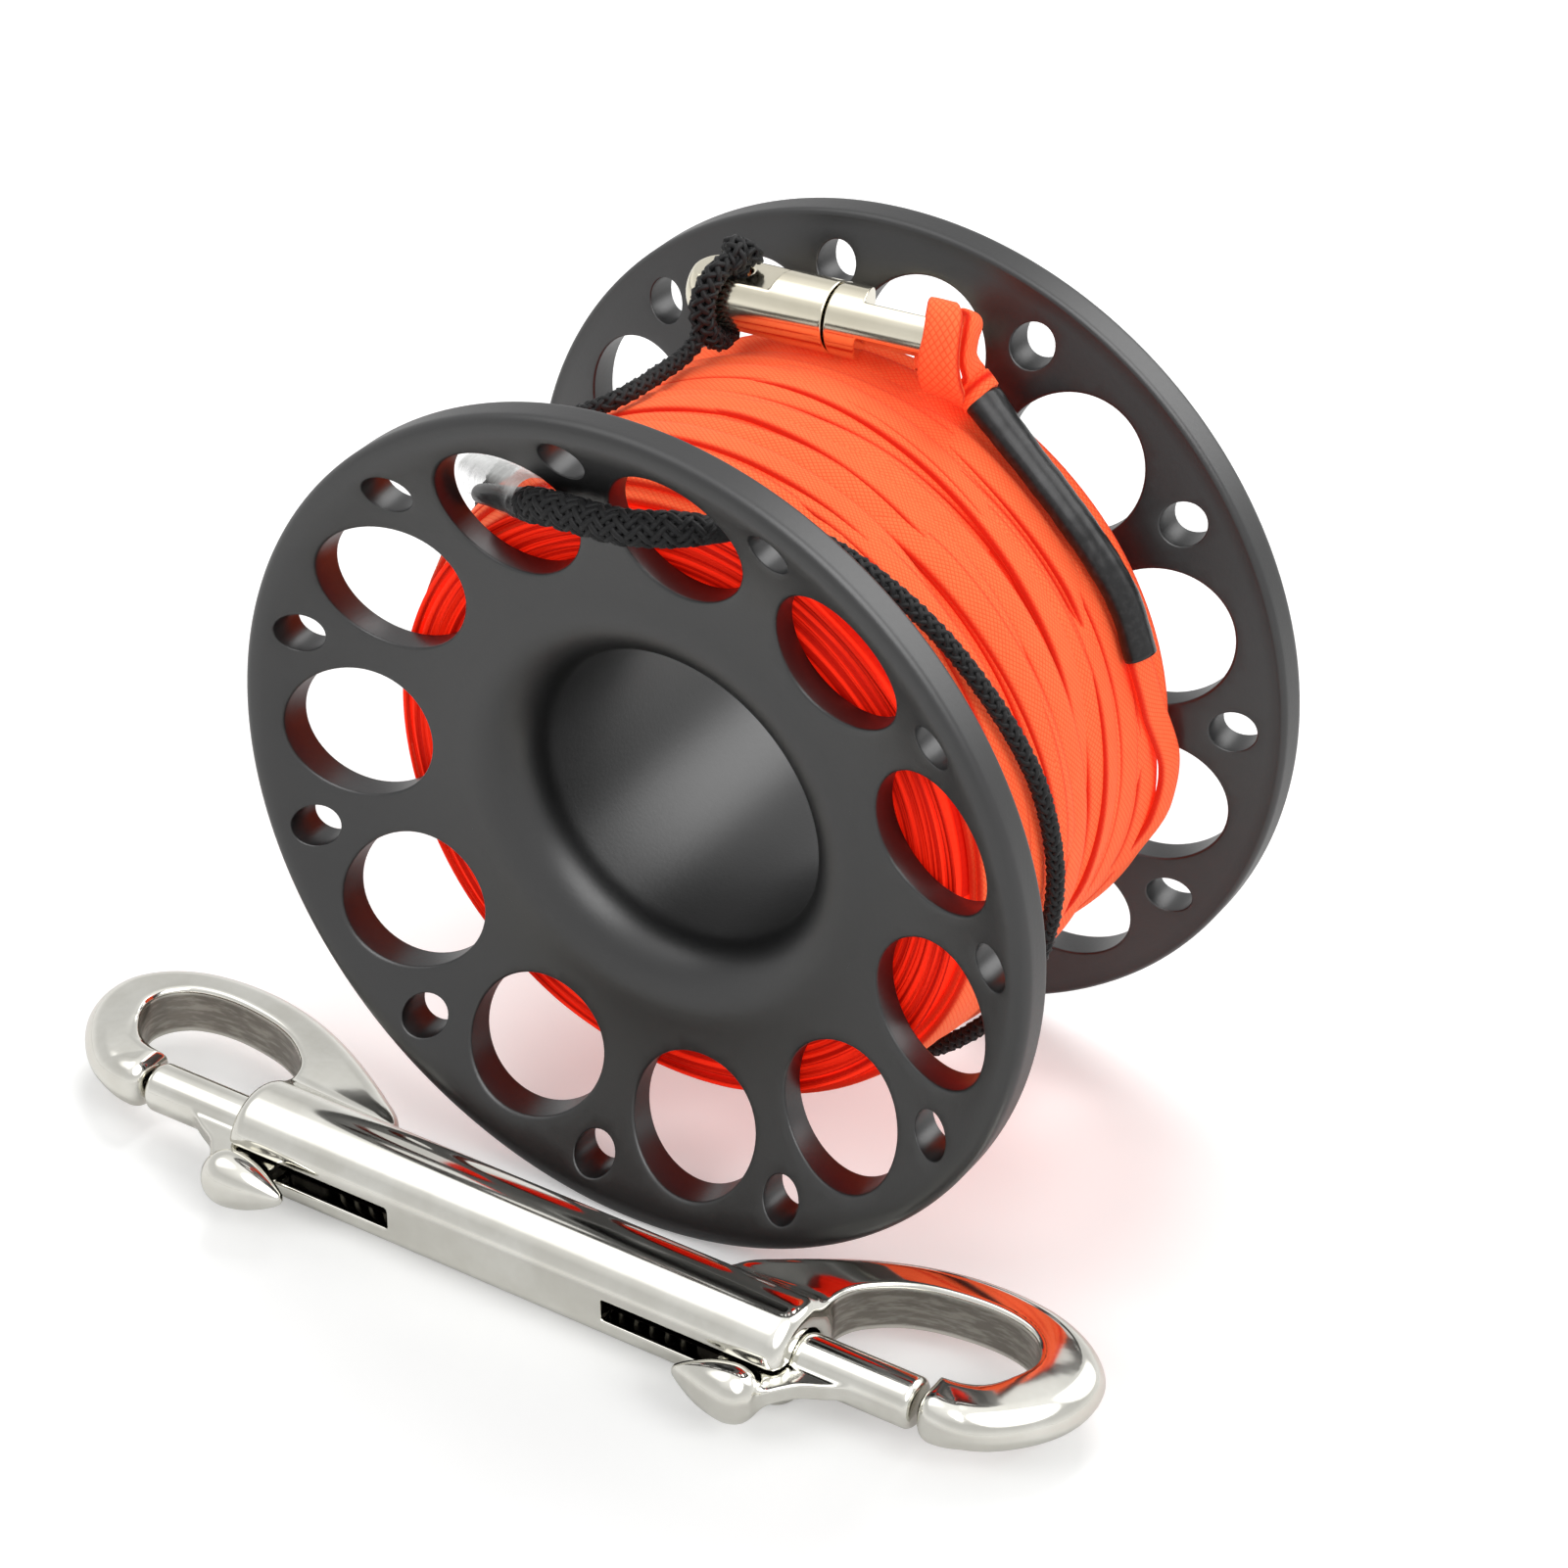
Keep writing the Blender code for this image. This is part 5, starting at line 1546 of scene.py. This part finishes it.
def makeLoop(surface):
    roll = Matrix.Rotation(swivel["lineRoll"], 3, "X")
    eye = Vector((swivel["line"]["length"] - swivel["line"]["eye"], 0, 0))
    intoSwivel = (Matrix.Translation(layout["swivelCentre"] / mm) @ swivelTurn).inverted()
    mouth, before = Vector(sleeveRoute[-1]), Vector(sleeveRoute[-2])
    heading = (mouth - before).normalized()
    across = (Vector((0, 1, 0)) - heading * heading.y).normalized()
    lift = heading.cross(across).normalized()
    lift *= 1 if lift.z > 0 else -1
    rows = []

    def atMouth(side, ahead):
        point = mouth + heading * ahead + lift * side * mouthStrand["halfApart"]
        direction = intoSwivel.to_3x3() @ across
        rows.append((*(intoSwivel @ point), *direction, mouthStrand["width"], mouthStrand["thickness"]))

    for ahead in mouthPlaces:
        atMouth(-1, ahead)
    for place, direction, width, thickness in loopRoute:
        rows.append((*(eye + roll @ Vector(place)), *(roll @ Vector(direction)), width, thickness))
    for ahead in mouthPlaces[::-1]:
        atMouth(1, ahead)
    # a tape has no front, so its width may point either way, and each row keeps to the one before
    for index in range(1, len(rows)):
        last, row = rows[index - 1], rows[index]
        if sum(last[3 + k] * row[3 + k] for k in range(3)) < 0:
            rows[index] = (*row[:3], *[-value for value in row[3:6]], *row[6:])
    route = smoothRoute(rows, loopStep)
    strands = sweep(route[:, :3], route[:, 3:6], route[:, 6] / 2, route[:, 7] / 2, tapeSection)
    # the bight is drawn tight round both strands at the sleeve's mouth
    b = bight
    turns = np.linspace(0, tau, b["points"])
    ringAcross = np.outer(b["halfAcross"] * np.cos(turns), across)
    ringLift = np.outer(b["halfLift"] * np.sin(turns), lift)
    ringAhead = np.outer(b["ahead"] + np.tan(b["tip"]) * b["halfAcross"] * np.cos(turns), heading)
    places = np.array(mouth) + ringAcross + ringLift + ringAhead
    inward = np.array(intoSwivel)
    places = places @ inward[:3, :3].T + inward[:3, 3]
    width = np.tile(inward[:3, :3] @ np.array(heading), (len(places), 1))
    band = sweep(places, width, b["halfWidth"], b["halfThickness"], tapeSection)
    points, faces, flow = joinParts([strands, band])
    mesh = meshFrom("lineEndLoop", points, faces, swivelFrame, flow)
    turnOut(mesh)
    return addPiece("lineEndLoop", mesh, "spool", surface, ["line_end_loop"])


def makeSleeve(surface):
    s = sleeve
    route = smoothRoute(sleeveRoute, s["step"])
    share = np.linspace(0, 1, len(route))
    flare = 1 + (s["flare"] - 1) * np.clip((share - s["flareFrom"]) / s["flareOver"], 0, 1) ** s["flarePower"]
    ripple = waves(share, s["ripples"], 1)
    across = np.tile((0, 1.0, 0), (len(route), 1))
    wide, high = s["halfWidth"] * flare, s["halfHeight"] * flare
    sides, section = s["sides"], ovalSection(s["sides"])
    outer = sweep(route, across, wide * ripple, high * ripple, section, closedEnds=False)
    inner = sweep(route, across, wide - s["wall"], high - s["wall"], section, closedEnds=False)
    # flat ends between the outer and the inner wall
    base = len(outer[0])
    caps = []
    for start in (0, base - sides):
        for k in range(sides):
            ahead = (k + 1) % sides
            caps.append([start + k, start + ahead, base + start + ahead, base + start + k])
    points, faces, flow = joinParts([outer, inner])
    mesh = meshFrom("lineSleeve", points, faces + caps, spoolFrame, flow)
    turnOut(mesh)
    return addPiece("lineSleeve", mesh, "spool", surface, ["line_sleeve"])


makeLoop(finishes["strand"])
makeSleeve(finishes["shrink"])
print("loop and sleeve made")


# bolt snap
snap = {
    "half": 59.7,
    "tube": 5.4,
    "tubeHalf": 33.0,
    "tubeRound": 1.8,
    "flat": 4.9,
    "wall": 4.5,
    "bore": 2.9,
    "slotHalf": 1.25,
    "slotEnd": 12.8,
    "hookReach": 17.6,
    "hookHalf": 2.9,
    "outerRound": 2.4,
    "innerRound": 0.6,
    "noseRound": 1.1,
    "fall": 1.0,
    "fallReach": 6.0,
    "tip": 46.3,
    "mouth": 31.0,
    "hookRoot": [(18.0, -1.0), (18.0, -2.7)],
    "outlineStep": 0.5,
    "tableBottom": -9,
    "tableMargin": 3,
    # the hook's tip has softer edges: from where along it, below which height, and over how much
    "noseAlong": (42, 4),
    "noseBelow": (5.5, 3),
    "meld": 1.6,
    "edge": 0.3,
    "boreReach": 39,
    "slotReach": 14,
    "slotTop": 5.1,
    "slotRound": 0.25,
    # which part is left as cast: how near the eye's wall, how far from the faces, and above which height
    "castReach": 0.3,
    "castInset": 0.7,
    "castAbove": 2.7,
    # and which part gets painted shade: how far outside the bore, and how far from its ends
    "shadeReach": 0.4,
    "shadeInset": 1.5,
    "margin": 1,
    "marginAside": 0.8,
    "cell": 0.27,
}
# the hook's outline and its eye's, in shares of the half length and of the hook's reach
hookOuter = [
    (0.7755, -0.153), (0.838, -0.148), (0.898, -0.068), (0.951, 0.091), (0.987, 0.278), (1.0, 0.483),
    (0.987, 0.682), (0.941, 0.847), (0.874, 0.955), (0.796, 1.0), (0.717, 0.998), (0.643, 0.955),
    (0.580, 0.890), (0.519, 0.805), (0.461, 0.705), (0.402, 0.590), (0.348, 0.455), (0.310, 0.200),
]
hookInner = [
    (0.7755, 0.148), (0.814, 0.165), (0.848, 0.210), (0.874, 0.295), (0.889, 0.398), (0.893, 0.489),
    (0.881, 0.591), (0.853, 0.676), (0.814, 0.722), (0.767, 0.736), (0.714, 0.722), (0.663, 0.688),
    (0.620, 0.631), (0.585, 0.551), (0.559, 0.460), (0.546, 0.341), (0.543, 0.170), (0.520, 0.0),
]


def outlineField(corners, low, high, step=0.15):
    # signed distance to a closed outline, kept as a table and read between its places
    corners = np.array(corners, dtype=float)
    xs, ys = np.arange(low[0], high[0] + step, step), np.arange(low[1], high[1] + step, step)
    gx, gy = np.meshgrid(xs, ys, indexing="ij")
    flat = np.stack([gx.ravel(), gy.ravel()], axis=1)
    best = np.full(len(flat), 1e9)
    inside = np.zeros(len(flat), dtype=bool)
    for a, b in zip(corners, np.roll(corners, -1, axis=0)):
        edge = b - a
        share = np.clip((flat - a) @ edge / max(edge @ edge, 1e-12), 0, 1)
        best = np.minimum(best, np.linalg.norm(flat - a - share[:, None] * edge, axis=1))
        crosses = (a[1] > flat[:, 1]) != (b[1] > flat[:, 1])
        rise = edge[1] if abs(edge[1]) > 1e-12 else 1e-12
        inside ^= crosses & (flat[:, 0] < a[0] + (flat[:, 1] - a[1]) * edge[0] / rise)
    table = np.where(inside, -best, best).reshape(gx.shape)

    def field(x, y):
        i = np.clip((x - xs[0]) / step, 0, len(xs) - 1.001)
        j = np.clip((y - ys[0]) / step, 0, len(ys) - 1.001)
        i0, j0 = i.astype(int), j.astype(int)
        a, b = i - i0, j - j0
        near = table[i0, j0] * (1 - b) + table[i0, j0 + 1] * b
        far = table[i0 + 1, j0] * (1 - b) + table[i0 + 1, j0 + 1] * b
        return near * (1 - a) + far * a

    return field


def roundedBoth(a, b, r):
    # inside both, with that radius where they meet
    outside = np.hypot(np.maximum(a + r, 0), np.maximum(b + r, 0))
    return np.minimum(np.maximum(a + r, b + r), 0) + outside - r


def hookFields():
    s = snap

    def curve(shares):
        return smoothRoute([(x * s["half"], y * s["hookReach"]) for x, y in shares], s["outlineStep"])

    # the hook ends inside the tube, and its eye is open below, from the mouth to the tip
    bottom, margin = s["tableBottom"], s["tableMargin"]
    low, high = (-margin, bottom), (s["half"] + margin, s["hookReach"] + margin)
    whole = outlineField([*curve(hookOuter), *s["hookRoot"]], low, high)
    return whole, outlineField([*curve(hookInner), (s["mouth"], bottom), (s["tip"], bottom)], low, high)


def bodyField(whole, eye):
    s = snap

    def field(p):
        x, y, z = np.abs(p[:, 0]), p[:, 1], np.abs(p[:, 2])
        # the faces fall away from the eye, so the section is round rather than flat
        fall = s["fall"] * (1 - np.exp(-((np.maximum(eye(x, y), 0) / s["fallReach"]) ** 2)))
        hook = roundedBoth(whole(x, y), z - s["hookHalf"] + fall, s["outerRound"])
        start, over = s["noseAlong"]
        top, fade = s["noseBelow"]
        nose = np.clip((x - start) / over, 0, 1) * np.clip((top - y) / fade, 0, 1)
        hook = roundedBoth(hook, -eye(x, y), s["innerRound"] + s["noseRound"] * nose)
        half = np.stack([x, y, p[:, 2]], axis=1)
        tube = rodField(half, -s["tubeHalf"], s["tubeHalf"], s["tube"], s["tubeRound"])
        solid = softUnion(hook, tube, s["meld"])
        solid = softCut(solid, s["flat"] + y, s["edge"])
        bore = np.maximum(np.hypot(y, z) - s["bore"], s["wall"] - x)
        solid = softCut(solid, np.maximum(bore, x - s["boreReach"]), s["edge"])
        slotCentre = (s["slotEnd"] + s["slotReach"], -s["slotTop"], 0)
        slot = roundedBox(half, slotCentre, (s["slotReach"], s["slotTop"], s["slotHalf"]), s["slotRound"])
        return softCut(solid, slot, s["edge"])

    return field


def makeSnapBody(surface):
    s = snap
    aside = s["tube"] + s["marginAside"]
    low = (-s["half"] - s["margin"], -aside, -aside)
    high = (s["half"] + s["margin"], s["hookReach"] + s["margin"], aside)
    whole, eye = hookFields()
    points, faces, normals = solidFromField(bodyField(whole, eye), low, high, s["cell"])
    mesh = meshFrom("snapBody", points, faces, snapFrame, normals=normals)
    apart = np.abs(eye(np.abs(points[:, 0]), points[:, 1]))
    within = np.abs(points[:, 2]) < s["hookHalf"] - s["castInset"]
    markPoints(mesh, "innerWall", (apart < s["castReach"]) & within & (points[:, 1] > s["castAbove"]))
    # painted shade inside the tube's bore
    inside = np.hypot(points[:, 1], points[:, 2]) < s["bore"] + s["shadeReach"]
    markPoints(mesh, "shadedInBore", inside & (np.abs(points[:, 0]) < s["tubeHalf"] - s["shadeInset"]))
    return addPiece("snapBody", mesh, "snap", surface, ["snap_body"])


gate = {
    "rear": 22.0,
    "tip": 45.7,
    "radius": 2.6,
    "tipRound": 0.8,
    "knobCentre": 8.1,
    "knobEnd": 32.8,
    "knobLength": 9.6,
    "knobHalfDepth": 2.6,
    "knobHalfHeight": 3.0,
    "webRoot": 40.4,
    "webLength": 14.0,
    "webHalf": 0.95,
    "webEdge": 0.35,
    "webMeld": 0.45,
    "shadeInset": 1.5,
    "shadeBelow": 0.5,
    "margin": 1,
    "profileStep": 0.2,
    "rimStep": 0.3,
    # where the tables of distances to the two outlines start and end
    "knobTable": (-2, 6),
    "knobTableMargin": 4,
    "knobTableStep": 0.1,
    "webTable": ((20, -12), (46, 4)),
    "knobMeld": 0.9,
    "cell": 0.2,
}
# the knob's half outline in shares of its length and size, and the web's in shares of its length and depth
knobProfile = [
    (0.0, 0.0), (0.02, 0.12), (0.05, 0.24), (0.20, 0.53), (0.40, 0.82), (0.60, 0.98), (0.75, 1.0),
    (0.88, 0.84), (0.97, 0.50), (0.993, 0.25), (1.0, 0.0),
]
webOutline = [(0, 0), (0, 0.19), (0.21, 0.42), (0.36, 0.56), (0.45, 0.72), (0.55, 0.95), (1, 0.95), (1, 0)]


def gateField():
    g = gate
    start = g["knobEnd"] - g["knobLength"]
    size = (g["knobHalfDepth"] + g["knobHalfHeight"]) / 2
    places = [(start + g["knobLength"] * x, size * r) for x, r in knobProfile]
    corners = [*smoothRoute(places, g["profileStep"]), (g["knobEnd"], -1), (start, -1)]
    bottom, top = g["knobTable"]
    low, high = (start - g["knobTableMargin"], bottom), (g["knobEnd"] + g["knobTableMargin"], top)
    knob = outlineField(corners, low, high, g["knobTableStep"])
    rim = [(g["webRoot"] - g["webLength"] * x, -g["knobCentre"] * y) for x, y in webOutline]
    web = outlineField([rim[0], *smoothRoute(rim[1:6], g["rimStep"]), *rim[6:]], *g["webTable"])

    def field(p):
        x, y, z = p[:, 0], p[:, 1], p[:, 2]
        rod = rodField(p, g["rear"], g["tip"], g["radius"], g["tipRound"])
        sheet = roundedBoth(web(x, y), np.abs(z) - g["webHalf"], g["webEdge"])
        stretch = np.hypot((y + g["knobCentre"]) * size / g["knobHalfDepth"], z * size / g["knobHalfHeight"])
        return softUnion(softUnion(rod, sheet, g["webMeld"]), knob(x, stretch), g["knobMeld"])

    return field


def makeGates(surface):
    g = gate
    margin, half = g["margin"], g["knobHalfHeight"]
    low = (g["rear"] - margin, -g["knobCentre"] - g["knobHalfDepth"] - margin, -half - margin)
    high = (g["tip"] + margin, g["radius"] + margin, half + margin)
    skin = solidFromField(gateField(), low, high, g["cell"])
    # painted shade on each gate's rod where it lies inside the tube's bore
    shaded = skin[0][:, 1] > -g["radius"] - g["shadeBelow"]
    deepAndShaded = (skin[0][:, 0] < g["knobEnd"] - g["shadeInset"]) & shaded
    for word, side in (("Right", 1), ("Left", -1)):
        points, faces, normals = handed(skin, side)
        mesh = meshFrom("gate" + word, points, faces, snapFrame, normals=normals)
        markPoints(mesh, "shadedInBore", deepAndShaded)
        node = "gate_" + word.lower()
        addPiece("gate" + word, mesh, node, surface, [node])


# keep is the share of its length that a spring still has when its gate is pulled back
spring = {
    "start": 5.1,
    "end": 21.4,
    "coil": 2.0,
    "wire": 0.3,
    "turns": 9,
    "stepsPerTurn": 22,
    "sides": 8,
    "keep": 0.28,
}


def makeSprings(surface):
    s = spring
    steps = s["turns"] * s["stepsPerTurn"]
    angles = np.linspace(0, tau * s["turns"], steps + 1)
    along = np.linspace(s["start"], s["end"], steps + 1)
    for word, side in (("Right", 1), ("Left", -1)):
        places = np.stack([side * along, s["coil"] * np.cos(angles), s["coil"] * np.sin(angles)], axis=1)
        across = np.stack([0 * along, np.cos(angles), np.sin(angles)], axis=1)
        points, faces, flow = sweep(places, across, s["wire"], s["wire"], ovalSection(s["sides"]))
        mesh = meshFrom("spring" + word, points, faces, snapFrame, flow)
        turnOut(mesh)
        node = "spring_" + word.lower()
        piece = addPiece("spring" + word, mesh, "snap", surface, [node])
        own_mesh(piece)


makeSnapBody(finishes["castSteel"])
print("snap body made")
makeGates(finishes["castSteel"])
makeSprings(finishes["springSteel"])
print("gates and springs made")


# floor, light and background
stage = {
    "floor": (0.80, 0.80, 0.795),
    "floorHalf": 3,
    "floorGlow": 0.30,
    "ambient": 0.50,
    # what shiny pieces see by height: floor line, wall, ceiling
    "mirrored": [(0.0, 0.80), (0.10, 0.74), (0.30, 0.60), (0.55, 0.56), (0.8, 0.82), (1.0, 1.0)],
    "mirrorBright": 1.25,
    # soft panels that shiny pieces mirror: where they are, and how they fade in
    "panels": [
        {"toward": (0.42, 0.68, 0.60), "from": 0.83, "to": 0.985, "bright": 3.4},
        {"toward": (0.50, -0.26, 0.83), "from": 0.80, "to": 0.985, "bright": 4.2},
        {"toward": (-0.45, -0.12, 0.87), "from": 0.84, "to": 0.985, "bright": 1.9},
    ],
    "key": {"place": (-0.15, 0.50, 0.78), "size": 0.55, "watts": 4.6},
    "fill": {"place": (-0.42, -0.62, 0.62), "size": 0.50, "watts": 2.0},
    "side": {"place": (0.66, -0.16, 0.48), "size": 0.45, "watts": 2.7},
    "lightsAim": (0, 0, 0.04),
}


def makeWorld():
    world = bpy.data.worlds.new("studio")
    world.use_nodes = True
    bpy.context.scene.world = world
    tree = world.node_tree
    background = tree.nodes["Background"]
    background.inputs["Color"].default_value = (1, 1, 1, 1)
    sky = Tree()
    sky.tree = tree
    toCamera = sky.node("ShaderNodeLightPath", output="Is Camera Ray")
    glossy = sky.node("ShaderNodeLightPath", output="Is Glossy Ray")
    direction = sky.node("ShaderNodeTexCoord", output="Generated")
    height = abs(sky.node("ShaderNodeSeparateXYZ", inputs={0: direction}, output=2))
    ramp = tree.nodes.new("ShaderNodeValToRGB")
    for index, (place, grey) in enumerate(stage["mirrored"]):
        stops = ramp.color_ramp.elements
        stop = stops[index] if index < 2 else stops.new(place)
        stop.position, stop.color = place, (grey, grey, grey, 1)
    sky.feed(ramp.inputs[0], height)
    seen = Wire(sky, ramp.outputs[0]) * stage["mirrorBright"]
    for panel in stage["panels"]:
        toward = tuple(Vector(panel["toward"]).normalized())
        facing = sky.node("ShaderNodeVectorMath", {"operation": "DOT_PRODUCT"}, {0: direction, 1: toward}, 1)
        seen = seen.most(facing.step(panel["from"], panel["to"]) * panel["bright"])
    # white to the camera, mirrored by shiny pieces, and a plain light for the rest
    plain = (1.0 - glossy) * (1.0 - toCamera) * stage["ambient"]
    sky.feed(background.inputs["Strength"], toCamera.most(glossy * seen).most(plain))


def makeFloor():
    half = stage["floorHalf"]
    corners = [(-half, -half, 0), (half, -half, 0), (half, half, 0), (-half, half, 0)]
    mesh = bpy.data.meshes.new("floor")
    mesh.from_pydata(corners, [], [(0, 1, 2, 3)])
    floor = bpy.data.objects.new("floor", mesh)
    bpy.context.scene.collection.objects.link(floor)
    # the glow shows to the camera only, so that shiny pieces don't mirror it
    surface = Finish("floorSheet", Base_Color=stage["floor"], Roughness=0.9, Specular_IOR_Level=0.0)
    lit = surface.node("ShaderNodeLightPath", output="Is Camera Ray")
    glow = surface.mixed(lit, (0.0, 0.0, 0.0), (1.0, 1.0, 1.0))
    surface.set(Emission_Color=glow, Emission_Strength=stage["floorGlow"])
    mesh.materials.append(surface.material)


def makeLights():
    for name in ("key", "fill", "side"):
        values = stage[name]
        data = bpy.data.lights.new(name, "AREA")
        data.shape = "DISK"
        data.size = values["size"]
        data.energy = values["watts"]
        light = bpy.data.objects.new(name, data)
        bpy.context.scene.collection.objects.link(light)
        light.location = values["place"]
        away = Vector(values["place"]) - Vector(stage["lightsAim"])
        light.rotation_euler = away.to_track_quat("Z", "Y").to_euler()
        # shiny pieces mirror the panels, not the lights
        light.visible_glossy = False


makeWorld()
makeFloor()
makeLights()
bpy.context.scene.view_settings.view_transform = "Standard"
